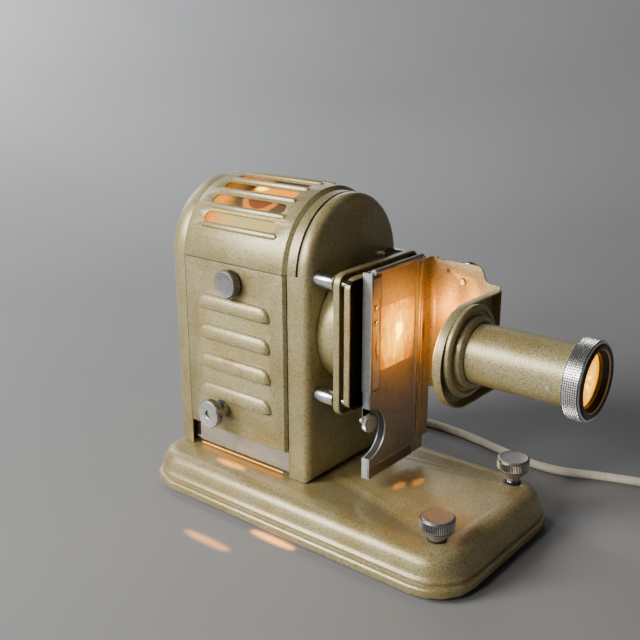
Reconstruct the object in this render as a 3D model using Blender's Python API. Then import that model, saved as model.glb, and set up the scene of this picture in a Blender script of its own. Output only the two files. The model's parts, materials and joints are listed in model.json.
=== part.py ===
"""Slide projector for 5 x 5 cm slides: pressed base, vaulted lamp house, slide chute, bracket arm and lens.

Frame: +X along the optical axis towards the lens, -Y towards the lamp house's door, +Z up. The origin lies
on the surface that the projector stands on, under the middle of its length and width. Lengths are metres.
"""

import math

import bmesh
import bpy
import numpy as np
from mathutils import Matrix, Vector

MM = 0.001
GAP = 0.3 * MM
CUT = 2.0 * MM
WELD = 0.001 * MM
SHARP_ANGLE = math.radians(35)
X_AXIS = Vector((1, 0, 0))
Y_AXIS = Vector((0, 1, 0))
Z_AXIS = Vector((0, 0, 1))

# Driving dimensions: reaches are counted along X from the lamp house's front face
BASE_REAR_REACH = 149.5 * MM
BASE_FRONT_REACH = 145.5 * MM
LENS_FRONT_REACH = 193.5 * MM
BASE_WIDTH = 159.0 * MM
BASE_HEIGHT = 27.0 * MM
BASE_CLEARANCE = 4.0 * MM
HOUSE_OFFSET = 10.5 * MM
HOUSE_SETBACK = 8.9 * MM
CAP_RADIUS = 54.6 * MM
RAISE = 3.0 * MM
SPRING_HEIGHT = 158.6 * MM
AXIS_HEIGHT = 115.0 * MM
SHEET = 1.2 * MM
SCREW_FROM_FRONT = 30.0 * MM
SCREW_FROM_NEAR = 31.6 * MM
SCREW_FROM_FAR = 22.6 * MM
BARREL_RADIUS = 21.25 * MM

# Base shell
BASE_CORNER = 32.0 * MM
BASE_WALL = 2.2 * MM
BASE_FILLET = 11.5 * MM
BASE_FLARE = 5.0 * MM
BASE_BEAD_HEIGHT = BASE_HEIGHT - BASE_FILLET
BEAD_INSET_SHARES = (0.16, 0.0, 0.0, 0.18, 0.6, 0.64, 0.5, 0.52, 0.78, 0.92, 1.0)
BEAD_HEIGHT_SHARES = (0.0, 0.06, 0.35, 0.43, 0.47, 0.54, 0.6, 0.69, 0.77, 0.86, 1.0)
HOLLOW_INSET_SHARES = (0.0, 0.0, 0.6, 1.0)
HOLLOW_HEIGHT_SHARES = (0.0, 0.26, 0.36, 1.0)
VENT_LENGTH = 56.0 * MM
VENT_WIDTH = 6.0 * MM
VENT_CORNER = 2.0 * MM
VENT_PITCH = 14.0 * MM
VENT_COUNT = 4

# Underside
PLATE_LIFT = 1.0 * MM
PLATE_THICK = 1.2 * MM
SCREW_PASSAGE = 9.0 * MM
FOOT_RADIUS = 9.0 * MM
FOOT_FROM_REAR = 28.0 * MM
FOOT_FROM_SIDE = 29.5 * MM
FOOT_SPREAD = BASE_WIDTH / 2 - FOOT_FROM_SIDE
BLOCK_LENGTH = 34.0 * MM
BLOCK_WIDTH = 16.0 * MM
BLOCK_HEIGHT = 12.0 * MM

# Levelling screws
BUSH_RADIUS = 5.4 * MM
BUSH_FLANGE = 6.7 * MM
BUSH_FLANGE_THICK = 0.8 * MM
BUSH_DEPTH = 10.0 * MM
SPINDLE_RADIUS = 3.9 * MM
PAD_RADIUS = 7.0 * MM
PAD_THICK = 4.0 * MM
KNOB_RADIUS = 12.1 * MM
KNOB_HEIGHT = 16.6 * MM
KNOB_EDGE = 1.2 * MM
KNOB_EDGE_WIDTH = 1.7 * MM
KNOB_CROWN = 5.0 * MM
KNOB_RADIUS_SHARES = (0.52, 0.56, 0.68, 0.835, 1.0)
KNOB_HEIGHT_SHARES = (0.0, 0.06, 0.187, 0.325, 0.55)
FAR_KNOB_LIFT = 2.8 * MM

# Lamp house
FRONT_EDGE = 6.0 * MM
REAR_EDGE = 12.0 * MM
FRONT_CAP_DEPTH = 19.4 * MM
FRONT_CAP_CROWN_DEPTH = 9.2 * MM
REAR_CAP_DEPTH = 19.1 * MM
LIGHT_HOLE = 30.0 * MM
COVER_LIFT = 1.6 * MM
COVER_FLANGE = 7.6 * MM
JOGGLE = 2.6 * MM
COVER_GAP = 2.2 * MM
RIB_COUNT = 9
RIB_FIRST_ANGLE = math.radians(27.5)
SLOT_FIRST_ANGLE = math.radians(34)
RIB_PITCH = math.radians(16)
RIB_WIDTH = 5.2 * MM
RIB_RISE = 1.8 * MM
RIB_REAR_INSET = 12.3 * MM
RIB_FRONT_INSET = 9.8 * MM
RIB_END_RADIUS_SHARES = (0.0, 0.7, 1.0)
RIB_END_LENGTH_SHARES = (0.0, 0.3, 1.0)
SLOT_INSET = 13.6 * MM
SLOT_WIDTH = 10.0 * MM
DOOR_SILL = 22.0 * MM
DOOR_SLOPE = 1.9 * MM
DOOR_RETURN = 2.6 * MM
LOUVRE_FIRST = 50.1 * MM
LOUVRE_PITCH = 24.2 * MM
LOUVRE_HEIGHT = 10.7 * MM
LOUVRE_DEPTH = 4.4 * MM
LOUVRE_INSET = 12.0 * MM
LOUVRE_SINK = 0.4 * MM
LOUVRE_EASE_SHARE = 0.8
LOUVRE_END_ANGLE = math.radians(14)
TRAY_LIFT = 5.0 * MM
TRAY_LIP = 19.0 * MM
TRAY_NOTCH = 6.2 * MM

# Door knob
LATCH_DROP = 12.6 * MM
LATCH_HEIGHT = SPRING_HEIGHT - LATCH_DROP
LATCH_RADIUS = 10.8 * MM
LATCH_THICK = 7.2 * MM
LATCH_STANDOFF = 1.2 * MM
LATCH_STEM = 4.0 * MM
LATCH_STEM_LENGTH = 5.0 * MM
KNOB_BEVEL = 0.9 * MM

# Lamp adjuster
ADJUSTER_FROM_LAMP = 16.0 * MM
ADJUSTER_HEIGHT = 40.5 * MM
ADJUSTER_RADIUS = 11.2 * MM
ADJUSTER_THICK = 7.2 * MM
COLLAR_RADIUS = 7.5 * MM
COLLAR_LENGTH = 8.6 * MM
ADJUSTER_SPINDLE = 3.0 * MM
ADJUSTER_RECESS = 1.6 * MM
LUG_REACH = 35.0 * MM
LUG_WIDTH = 16.0 * MM
LUG_MARGIN = 6.0 * MM

# Lamp
LAMP_REACH = 70.0 * MM
CARRIAGE_LENGTH = 56.0 * MM
CARRIAGE_THICK = 1.5 * MM
SOCKET_RADIUS = 14.0 * MM
SOCKET_HEIGHT = 50.0 * MM
BULB_RADIUS = 19.0 * MM
BULB_HEIGHT = 89.0 * MM
BULB_RADIUS_SHARES = (0.0, 0.58, 0.62, 0.84, 0.98, 1.0, 1.0, 0.94, 0.72, 0.4, 0.0)
BULB_HEIGHT_SHARES = (0.0, 0.0, 0.1, 0.18, 0.27, 0.36, 0.8, 0.89, 0.96, 0.99, 1.0)
MIRROR_RADIUS = 42.0 * MM
MIRROR_HALF_ANGLE = math.radians(38)
STUD_RADIUS = 4.0 * MM

# Condenser
DRUM_INSET = 9.6 * MM
DRUM_RADIUS = CAP_RADIUS - DRUM_INSET
DRUM_WALL = 1.5 * MM
CONDENSER_RADIUS = 30.0 * MM
LENS_EDGE = 2.0 * MM
LENS_BULGE = 3.6 * MM
FILTER_THICK = 2.0 * MM
LENS_PLAY = 0.6 * MM

# Posts and plates
POST_RADIUS = 6.0 * MM
POST_LENGTH = 17.0 * MM
POST_INSET = 10.8 * MM
POST_SPREAD = CAP_RADIUS - POST_INSET
STUD_NECK = 2.5 * MM
PLATE_MARGIN = 5.0 * MM
PLATE_HALF_WIDTH = POST_SPREAD + PLATE_MARGIN
REAR_PLATE_HALF_HEIGHT = 53.3 * MM
REAR_PLATE_DROP = 2.1 * MM
FRONT_PLATE_HALF_HEIGHT = 49.0 * MM
PLATE_CORNER = 8.0 * MM
REAR_PLATE_DEPTH = 6.0 * MM
PLATE_SPACING = 3.6 * MM
FRONT_PLATE_DEPTH = 5.3 * MM
PLATE_EDGE = 1.2 * MM
PLATE_OPENING = 26.0 * MM

# Slide chute: heights are counted from the base's top
CHUTE_SHEET = 1.0 * MM
CHUTE_DEPTH = 5.5 * MM
CHUTE_NEAR = 32.7 * MM
CHUTE_FAR = 26.2 * MM
CHUTE_WING = 13.8 * MM
CHUTE_FOOT_HEIGHT = 8.5 * MM
CHUTE_OVER_WINDOW = 30.4 * MM
CHUTE_BACK_DROP = 3.6 * MM
HEM_RADIUS = 2.1 * MM
FRONT_SHEET_HEIGHT = 17.5 * MM
FRONT_LIP_THICK = 0.5 * MM
TONGUE_WIDTH = 3.0 * MM
NOTCH_RADIUS = 19.9 * MM
NOTCH_DROP = 3.7 * MM
WINDOW_HALF_WIDTH = 21.0 * MM
WINDOW_HALF_HEIGHT = 24.0 * MM
WINDOW_CORNER = 3.0 * MM
CHUTE_TOP_HEIGHT = AXIS_HEIGHT + WINDOW_HALF_HEIGHT + CHUTE_OVER_WINDOW
APERTURE_RIM = 1.8 * MM
APERTURE_BORDER = 5.3 * MM
APERTURE_THICK = 3.6 * MM
NEAR_SPRING_WIDTH = 10.6 * MM
NEAR_SPRING_FROM_TOP = 2.9 * MM
NEAR_SPRING_LENGTH = 88.5 * MM
NEAR_SPRING_FOOT = CHUTE_TOP_HEIGHT - NEAR_SPRING_FROM_TOP - NEAR_SPRING_LENGTH
FAR_SPRING_WIDTH = 5.0 * MM
FAR_SPRING_INSET = 1.4 * MM
FAR_SPRING_FROM_TOP = 21.4 * MM
FAR_SPRING_LENGTH = 103.0 * MM
FAR_SPRING_FOOT = CHUTE_TOP_HEIGHT - FAR_SPRING_FROM_TOP - FAR_SPRING_LENGTH
SPRING_THICK = 0.8 * MM
RIVET_RADIUS = 2.2 * MM
RIVET_HEAD = 1.2 * MM
RIVET_RADIUS_SHARES = (0.0, 1.0, 0.8, 0.0)
RIVET_HEAD_SHARES = (0.0, 0.0, 0.7, 1.0)
RIVET_FIRST = 52.0 * MM
RIVET_PITCH = 11.0 * MM
RIVET_INSET = 4.5 * MM
THUMB_RADIUS = 7.2 * MM
THUMB_THICK = 4.9 * MM
THUMB_FROM_EDGE = 11.7 * MM
THUMB_DROP = 17.6 * MM
THUMB_SHANK = 2.5 * MM
THUMB_TAIL = 4.0 * MM
LUG_HALF_WIDTH = 4.5 * MM

# Lens bracket
ARM_SHEET = 1.5 * MM
ARM_SIDE = 44.0 * MM
ARM_BEND = 4.0 * MM
ARM_NEAR_EDGE = 28.7 * MM
ARM_FRONT_SHEET_GAP = 4.7 * MM
ARM_END_OVERLAP = 5.5 * MM
ARM_FOOT_HEIGHT = 20.0 * MM
ARM_FLANGE_RISE = 1.8 * MM
ARM_OVER_PLATE = 2.9 * MM
ARM_UNDER_PLATE = 1.0 * MM
ARM_CORNER = 5.0 * MM
ARM_STEP_HEIGHT = 11.8 * MM
ARM_STEP_LENGTH = 9.9 * MM
ARM_STEP_SETBACK = 13.0 * MM
ARM_STEP_LENGTH_SHARES = (0.0, 0.354, 0.515, 0.697, 1.0)
ARM_STEP_HEIGHT_SHARES = (1.0, 0.82, 0.5, 0.14, 0.0)
CLAMP_SETBACK = 25.0 * MM
CLAMP_FROM_TOP = 14.0 * MM
CLAMP_RADIUS = 13.0 * MM
CLAMP_THICK = 10.0 * MM
CLAMP_SHANK = 2.4 * MM
CLAMP_TIP = 1.4 * MM
LENS_PLATE_REACH = 91.5 * MM
LENS_PLATE_DEPTH = 7.5 * MM
SOCKET_RIM_WIDTH = 11.75 * MM
SOCKET_RIM = BARREL_RADIUS + SOCKET_RIM_WIDTH
LENS_PLATE_MARGIN = 4.6 * MM
LENS_PLATE_RADIUS = SOCKET_RIM + LENS_PLATE_MARGIN
LENS_PLATE_DROP = 4.6 * MM
LENS_PLATE_SHIFT = 1.6 * MM
LENS_PLATE_PLAY = 2.75 * MM
LENS_PLATE_BORE = BARREL_RADIUS + LENS_PLATE_PLAY
LENS_PLATE_EDGE = 1.5 * MM

# Lens
SOCKET_RUN = 0.35 * MM
SOCKET_NECK_INSET = 3.5 * MM
SOCKET_NECK = SOCKET_RIM - SOCKET_NECK_INSET
SOCKET_DEPTH = 15.0 * MM
SOCKET_RADIUS_SHARES = (1.0, 0.86, 0.68, 0.6, 0.4, 0.35, 0.1)
SOCKET_DEPTH_SHARES = (0.6, 0.69, 0.69, 0.58, 0.58, 0.9, 1.0)
BARREL_WALL = 2.0 * MM
BARREL_BEHIND_PLATE = 6.0 * MM
RING_THICK = 5.75 * MM
RING_RADIUS = BARREL_RADIUS + RING_THICK
RING_WIDTH = 12.3 * MM
RING_GRIP = 6.0 * MM
RING_EDGE = 0.9 * MM
RING_LIP = 2.0 * MM
RING_RECESS = RING_RADIUS - RING_LIP
BEZEL_PROUD = 1.3 * MM
BEZEL_RIM = 3.0 * MM
BEZEL_FACE = RING_RECESS - BEZEL_RIM
BEZEL_DEPTH = 3.5 * MM
BEZEL_OPENING = BEZEL_FACE - BEZEL_DEPTH
BEZEL_LIP = 2.0 * MM
GLASS_EDGE = 3.0 * MM
GLASS_BULGE = 2.4 * MM
REAR_GLASS_INSET = 2.0 * MM

# Mains cord
CORD_RADIUS = 3.5 * MM
CORD_LIFT = 0.1 * MM
GLAND_REACH = 95.0 * MM
GLAND_RADIUS = 6.0 * MM
GLAND_DROP = 14.0 * MM
GLAND_INSIDE = 4.0 * MM
GLAND_OUTSIDE = 8.0 * MM
CORD_STEP = 17.0 * MM
CORD_ROUTE = (
    (-0.1170, 0.0900, 0.0165),
    (-0.1140, 0.1120, 0.0090),
    (-0.1010, 0.1330, 0.0040),
    (-0.0790, 0.1500, 0.0036),
    (-0.0520, 0.1600, 0.0036),
    (-0.0100, 0.1590, 0.0036),
    (0.0330, 0.1510, 0.0036),
    (0.0660, 0.1450, 0.0036),
    (0.0940, 0.1480, 0.0036),
    (0.1210, 0.1590, 0.0036),
    (0.1500, 0.1695, 0.0036),
    (0.1760, 0.1768, 0.0036),
)
COIL_CENTRE = (0.2115, 0.2285)
COIL_RADIUS = 49.0 * MM
COIL_PITCH = 7.5 * MM
COIL_TURNS = 6.25
COIL_START = math.radians(-100)
COIL_STEPS = 24
COIL_TAIL = 34.0 * MM
COIL_SAME_TURN = 28.0 * MM
COIL_APPROACH = 7.0 * MM
COIL_TAIL_STEPS = 5
PLUG_RADIUS = 15.0 * MM
PLUG_LENGTH = 40.0 * MM
PLUG_RADIUS_SHARES = (0.3, 0.4, 0.42, 0.86, 1.0, 1.0, 0.9)
PLUG_LENGTH_SHARES = (0.0, 0.0, 0.3, 0.52, 0.6, 0.96, 1.0)
PIN_RADIUS = 2.4 * MM
PIN_LENGTH = 19.0 * MM
PIN_SPREAD = 9.5 * MM

# Places worked out from the dimensions
HOUSE_FRONT = (BASE_REAR_REACH - LENS_FRONT_REACH) / 2
HOUSE_REAR = HOUSE_FRONT - BASE_REAR_REACH + HOUSE_SETBACK
BASE_REAR = HOUSE_FRONT - BASE_REAR_REACH
BASE_FRONT = HOUSE_FRONT + BASE_FRONT_REACH
BASE_TOP = BASE_CLEARANCE + BASE_HEIGHT
AXIS_Z = BASE_TOP + AXIS_HEIGHT
SPRING_Z = BASE_TOP + SPRING_HEIGHT
HULL_RADIUS = CAP_RADIUS + RAISE
COVER_EDGE = SPRING_Z + COVER_LIFT
COVER_REAR = HOUSE_REAR + REAR_CAP_DEPTH + GAP
DOOR_FRONT = HOUSE_FRONT - FRONT_CAP_DEPTH - GAP
DOOR_EDGE = DOOR_FRONT - DOOR_SLOPE
RETURN_FOOT = HULL_RADIUS - DOOR_RETURN
TRAY_TOP = BASE_TOP + TRAY_LIFT + SHEET
LAMP_X = HOUSE_FRONT - LAMP_REACH
GLAND_Z = BASE_TOP - GLAND_DROP
LOUVRE_SPAN = LATCH_HEIGHT - LATCH_RADIUS - LOUVRE_HEIGHT - LOUVRE_FIRST
LOUVRE_COUNT = int(LOUVRE_SPAN / LOUVRE_PITCH) + 1
REAR_PLATE_X = HOUSE_FRONT + POST_LENGTH + GAP
FRONT_PLATE_X = REAR_PLATE_X + REAR_PLATE_DEPTH + PLATE_SPACING
CHUTE_X = FRONT_PLATE_X + FRONT_PLATE_DEPTH + GAP
FRONT_SHEET_X = CHUTE_X + CHUTE_DEPTH + GAP
LENS_PLATE_X = HOUSE_FRONT + LENS_PLATE_REACH
LENS_PLATE_Z = AXIS_Z - LENS_PLATE_DROP
ARM_END = LENS_PLATE_X + ARM_END_OVERLAP
ARM_TOP = LENS_PLATE_Z + LENS_PLATE_RADIUS + ARM_OVER_PLATE + ARM_STEP_HEIGHT
ARM_UNDERSIDE = LENS_PLATE_Z - LENS_PLATE_RADIUS - ARM_UNDER_PLATE - ARM_STEP_HEIGHT
ARM_FLANGE_TOP = ARM_TOP + ARM_FLANGE_RISE
THUMB_Y = HOUSE_OFFSET - CHUTE_NEAR + THUMB_FROM_EDGE
THUMB_Z = AXIS_Z - FRONT_PLATE_HALF_HEIGHT - THUMB_DROP
BARREL_REAR = LENS_PLATE_X - BARREL_BEHIND_PLATE
RING_FRONT = HOUSE_FRONT + LENS_FRONT_REACH - BEZEL_PROUD
RING_REAR = RING_FRONT - RING_WIDTH
BARREL_FRONT = RING_REAR + RING_GRIP
SOCKET_X = LENS_PLATE_X + SHEET + GAP
BARREL_BORE = BARREL_RADIUS - BARREL_WALL
AXIS_POINT = Vector((0, HOUSE_OFFSET, AXIS_Z))

PAINT = ("hammer_paint", (0.50, 0.44, 0.31), 0.35, 0.4)
ALUMINIUM = ("aluminium", (0.72, 0.72, 0.74), 1.0, 0.3)
CHROME = ("chrome", (0.8, 0.8, 0.82), 1.0, 0.12)
ZINC = ("zinc", (0.55, 0.57, 0.6), 0.9, 0.42)
BLACK = ("black_lacquer", (0.02, 0.02, 0.02), 0.0, 0.4)
RUBBER = ("rubber", (0.04, 0.04, 0.04), 0.0, 0.8)
CERAMIC = ("ceramic", (0.8, 0.76, 0.68), 0.0, 0.5)
GLASS = ("glass", (0.85, 0.9, 0.9), 0.0, 0.05)
MIRROR = ("mirror", (0.9, 0.9, 0.9), 1.0, 0.03)
BRASS = ("brass", (0.75, 0.55, 0.25), 1.0, 0.3)
CREAM = ("cream_cord", (0.75, 0.7, 0.58), 0.0, 0.6)
BAKELITE = ("bakelite", (0.09, 0.04, 0.025), 0.0, 0.35)


# Scene and object helpers
def clear_scene():
    for obj in list(bpy.data.objects):
        bpy.data.objects.remove(obj, do_unlink=True)


def material(spec):
    name, colour, metallic, roughness = spec
    found = bpy.data.materials.get(name)
    if found:
        return found
    made = bpy.data.materials.new(name)
    made.use_nodes = True
    shader = made.node_tree.nodes["Principled BSDF"]
    shader.inputs["Base Color"].default_value = (*colour, 1)
    shader.inputs["Metallic"].default_value = metallic
    shader.inputs["Roughness"].default_value = roughness
    return made


def group(name, place=(0, 0, 0)):
    """An empty that carries a group of pieces."""
    empty = bpy.data.objects.new(name, None)
    empty.location = place
    bpy.context.scene.collection.objects.link(empty)
    return empty


def mesh_of(name, bm, origin):
    """A mesh from bm, which is in world coordinates, moved so that origin is its zero."""
    bmesh.ops.remove_doubles(bm, verts=bm.verts, dist=WELD)
    bmesh.ops.recalc_face_normals(bm, faces=bm.faces)
    bmesh.ops.translate(bm, verts=bm.verts, vec=-Vector(origin))
    mesh = bpy.data.meshes.new(name)
    bm.to_mesh(mesh)
    bm.free()
    return mesh


def piece(name, bm, spec, parent, origin=(0, 0, 0)):
    """One named sub-part, with its origin where its joint or its centre is."""
    mesh = mesh_of(name, bm, origin)
    mesh.materials.append(material(spec))
    mesh.shade_smooth()
    mesh.set_sharp_from_angle(angle=SHARP_ANGLE)
    obj = bpy.data.objects.new(name, mesh)
    obj.parent = parent
    obj.location = Vector(origin) - parent.location
    bpy.context.scene.collection.objects.link(obj)
    return obj


def combine(obj, bm, operation, label):
    """Cuts bm from obj, or joins it to obj, with an exact Boolean."""
    tool = bpy.data.objects.new(f"{obj.name}_{label}", mesh_of(label, bm, (0, 0, 0)))
    tool.hide_render = True
    tool.display_type = "WIRE"
    bpy.context.scene.collection.objects.link(tool)
    modifier = obj.modifiers.new(label, "BOOLEAN")
    modifier.operation = operation
    modifier.solver = "EXACT"
    modifier.object = tool


def cut(obj, bm, label):
    combine(obj, bm, "DIFFERENCE", label)


def join(obj, bm, label):
    combine(obj, bm, "UNION", label)


# Shape helpers, all in world coordinates
def loft(loops):
    """A closed solid through loops of as many points each, with a face over each end."""
    bm = bmesh.new()
    rings = [[bm.verts.new(point) for point in loop] for loop in loops]
    for low, high in zip(rings, rings[1:]):
        for i in range(len(low)):
            j = (i + 1) % len(low)
            bm.faces.new((low[i], low[j], high[j], high[i]))
    bm.faces.new(rings[0][::-1])
    bm.faces.new(rings[-1])
    return bm


def extruded(outline, travel):
    """The flat outline's face, extruded along travel."""
    bm = bmesh.new()
    face = bm.faces.new([bm.verts.new(point) for point in outline])
    top = bmesh.ops.extrude_face_region(bm, geom=[face])["geom"]
    moved = [item for item in top if isinstance(item, bmesh.types.BMVert)]
    bmesh.ops.translate(bm, verts=moved, vec=travel)
    return bm


def box(low, high):
    low, high = Vector(low), Vector(high)
    outline = [low, (high.x, low.y, low.z), (high.x, high.y, low.z), (low.x, high.y, low.z)]
    return extruded(outline, (0, 0, high.z - low.z))


def turned(profile, centre, axis, steps=32, closed=False):
    """A turned solid: profile points are (radius, distance along axis from centre)."""
    bm = bmesh.new()
    side = axis.orthogonal().normalized()
    verts = [bm.verts.new(centre + side * radius + axis * along) for radius, along in profile]
    pairs = list(zip(verts, verts[1:]))
    if closed:
        pairs.append((verts[-1], verts[0]))
    edges = [bm.edges.new(pair) for pair in pairs]
    bmesh.ops.spin(bm, geom=edges + verts, cent=centre, axis=axis, angle=math.tau, steps=steps)
    bmesh.ops.remove_doubles(bm, verts=bm.verts, dist=WELD)
    return bm


def rod(start, end, radius, steps=24):
    start, end = Vector(start), Vector(end)
    length = (end - start).length
    profile = [(0, 0), (radius, 0), (radius, length), (0, length)]
    return turned(profile, start, (end - start).normalized(), steps)


def merged(shapes):
    """Several separate closed shapes as one mesh, for one cutter."""
    bm = bmesh.new()
    for shape in shapes:
        mesh = bpy.data.meshes.new("shape")
        bmesh.ops.recalc_face_normals(shape, faces=shape.faces)
        shape.to_mesh(mesh)
        shape.free()
        bm.from_mesh(mesh)
        bpy.data.meshes.remove(mesh)
    return bm


def arc(centre, radius, start, end, steps):
    """Points of an arc in a plane, as pairs, both ends included."""
    angles = np.linspace(start, end, steps + 1)
    return [(centre[0] + radius * math.cos(a), centre[1] + radius * math.sin(a)) for a in angles]


def rounded_rectangle(low, high, corner, steps=4):
    """Points of a rounded rectangle in a plane, counterclockwise, as pairs."""
    centres = (
        ((high[0] - corner, high[1] - corner), 0),
        ((low[0] + corner, high[1] - corner), math.pi / 2),
        ((low[0] + corner, low[1] + corner), math.pi),
        ((high[0] - corner, low[1] + corner), -math.pi / 2),
    )
    points = []
    for centre, start in centres:
        points += arc(centre, corner, start, start + math.pi / 2, steps)
    return points


def at_z(points, z):
    return [Vector((x, y, z)) for x, y in points]


def at_x(points, x):
    """Pairs are offsets from the optical axis's side and heights above the surface."""
    return [Vector((x, HOUSE_OFFSET + y, z)) for y, z in points]


def knob(radius, thick, place, axis, steps, stem=(0, 0)):
    """A flat round knob whose back lies at place; stem is the radius and length of what runs back from it."""
    profile = [
        (0, -stem[1]),
        (stem[0], -stem[1]),
        (stem[0], 0),
        (radius - KNOB_BEVEL, 0),
        (radius, KNOB_BEVEL),
        (radius, thick - KNOB_BEVEL),
        (radius - KNOB_BEVEL, thick),
        (0, thick),
    ]
    return turned(profile, place, axis, steps)


# Base
def base_loop(inset, height):
    low = (BASE_REAR + inset, inset - BASE_WIDTH / 2)
    high = (BASE_FRONT - inset, BASE_WIDTH / 2 - inset)
    return at_z(rounded_rectangle(low, high, BASE_CORNER - inset), BASE_CLEARANCE + height)


def fillet_points(inset, height, radius, steps=4):
    """Inset and height along a fillet that starts upright at inset and ends level at height."""
    return arc((inset + radius, height - radius), radius, math.pi, math.pi / 2, steps)


def vents(low, high):
    """Cooling slots under the lamp, as cutters from low to high."""
    shapes = []
    for i in range(VENT_COUNT):
        y = HOUSE_OFFSET + (i - (VENT_COUNT - 1) / 2) * VENT_PITCH
        start = (LAMP_X - VENT_LENGTH / 2, y - VENT_WIDTH / 2)
        end = (LAMP_X + VENT_LENGTH / 2, y + VENT_WIDTH / 2)
        outline = rounded_rectangle(start, end, VENT_CORNER, 3)
        shapes.append(extruded(at_z(outline, low), (0, 0, high - low)))
    return shapes


def screw_places():
    x = BASE_FRONT - SCREW_FROM_FRONT
    near = Vector((x, SCREW_FROM_NEAR - BASE_WIDTH / 2, 0))
    return (("near", near), ("far", Vector((x, BASE_WIDTH / 2 - SCREW_FROM_FAR, 0))))


def make_base(parent):
    inner = [
        (BASE_WALL + inset * BASE_FLARE, height * BASE_BEAD_HEIGHT)
        for inset, height in zip(HOLLOW_INSET_SHARES, HOLLOW_HEIGHT_SHARES)
    ]
    hollow = BASE_FILLET - BASE_WALL
    inner += fillet_points(BASE_FLARE + BASE_WALL, BASE_HEIGHT - BASE_WALL, hollow, 2)[1:]
    outer = [
        (inset * BASE_FLARE, height * BASE_BEAD_HEIGHT)
        for inset, height in zip(BEAD_INSET_SHARES, BEAD_HEIGHT_SHARES)
    ]
    outer += fillet_points(BASE_FLARE, BASE_HEIGHT, BASE_FILLET)[1:]
    loops = [base_loop(*point) for point in inner[::-1] + outer]
    base = piece("base_shell", loft(loops), PAINT, parent)
    under = BASE_TOP - BASE_WALL - CUT
    over = BASE_TOP + CUT
    holes = [
        rod(place + Z_AXIS * under, place + Z_AXIS * over, BUSH_RADIUS + GAP)
        for _, place in screw_places()
    ]
    start, end = gland_ends()
    holes.append(rod(start, end, GLAND_RADIUS + GAP, 16))
    cut(base, merged(holes + vents(under, over)), "holes")


def make_underside(parent):
    inset = BASE_WALL + GAP
    low = PLATE_LIFT
    loops = [base_loop(inset, low), base_loop(inset, low + PLATE_THICK)]
    plate = piece("bottom_plate", loft(loops), ZINC, parent)
    bottom = BASE_CLEARANCE + low
    top = bottom + PLATE_THICK
    holes = [
        rod(place + Z_AXIS * (bottom - CUT), place + Z_AXIS * (top + CUT), SCREW_PASSAGE)
        for _, place in screw_places()
    ]
    cut(plate, merged(holes + vents(bottom - CUT, top + CUT)), "holes")
    for label, side in (("near", -1), ("far", 1)):
        place = Vector((BASE_REAR + FOOT_FROM_REAR, side * FOOT_SPREAD, 0))
        shape = rod(place, place + Z_AXIS * (bottom - GAP), FOOT_RADIUS)
        piece(f"rear_foot_{label}", shape, RUBBER, parent, place)
    high = BASE_TOP - BASE_WALL - GAP
    rear = HOUSE_FRONT - GLAND_REACH - BLOCK_LENGTH / 2
    corner = Vector((rear, FOOT_SPREAD - BLOCK_WIDTH, high - BLOCK_HEIGHT))
    block = box(corner, corner + Vector((BLOCK_LENGTH, BLOCK_WIDTH, BLOCK_HEIGHT)))
    piece("terminal_block", block, CERAMIC, parent, corner)


def make_levelling_screws(parent):
    bush_top = BASE_TOP + GAP + BUSH_FLANGE_THICK
    bore = SPINDLE_RADIUS + GAP
    for (label, place), lift in zip(screw_places(), (0, FAR_KNOB_LIFT)):
        foot = bush_top + GAP + lift
        top = foot + KNOB_HEIGHT
        profile = [
            (bore, BASE_TOP - BUSH_DEPTH),
            (BUSH_RADIUS, BASE_TOP - BUSH_DEPTH),
            (BUSH_RADIUS, BASE_TOP + GAP),
            (BUSH_FLANGE, BASE_TOP + GAP),
            (BUSH_FLANGE, bush_top),
            (bore, bush_top),
        ]
        piece(f"screw_bush_{label}", turned(profile, place, Z_AXIS, 16, True), BLACK, parent, place)
        spindle_top = top - KNOB_CROWN
        profile = [
            (0, 0),
            (PAD_RADIUS, 0),
            (PAD_RADIUS, PAD_THICK),
            (SPINDLE_RADIUS, PAD_THICK),
            (SPINDLE_RADIUS, spindle_top),
            (0, spindle_top),
        ]
        piece(f"screw_spindle_{label}", turned(profile, place, Z_AXIS, 16), CHROME, parent, place)
        profile = [(0, spindle_top + GAP), (bore, spindle_top + GAP), (bore, foot)]
        profile += [
            (KNOB_RADIUS * radius, foot + KNOB_HEIGHT * height)
            for radius, height in zip(KNOB_RADIUS_SHARES, KNOB_HEIGHT_SHARES)
        ]
        profile += [(KNOB_RADIUS, top - KNOB_EDGE), (KNOB_RADIUS - KNOB_EDGE_WIDTH, top), (0, top)]
        piece(f"levelling_knob_{label}", turned(profile, place, Z_AXIS, 24), ALUMINIUM, parent, place)


# Lamp house
def arch_loop(x, half, inset):
    """The lamp house's outline at x: straight sides with a round crown."""
    reach = half - inset
    foot = BASE_TOP + GAP + inset
    points = [(-reach, foot), (reach, foot)]
    points += arc((0, SPRING_Z), reach, 0, math.pi, 20)
    return at_x(points, x)


def cap_loops(face, direction, half, edge, depth):
    """An arched pan: its closed face lies at face, its walls run depth along direction."""
    outer = [(inset, edge - drop) for inset, drop in fillet_points(0, edge, edge)][::-1]
    loops = [arch_loop(face + direction * along, half, inset) for inset, along in outer]
    loops.append(arch_loop(face + direction * depth, half, 0))
    loops.append(arch_loop(face + direction * depth, half, SHEET))
    core = edge - SHEET
    inner = [(SHEET + inset, SHEET + core - drop) for inset, drop in fillet_points(0, core, core, 2)]
    return loops + [arch_loop(face + direction * along, half, inset) for inset, along in inner]


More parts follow.
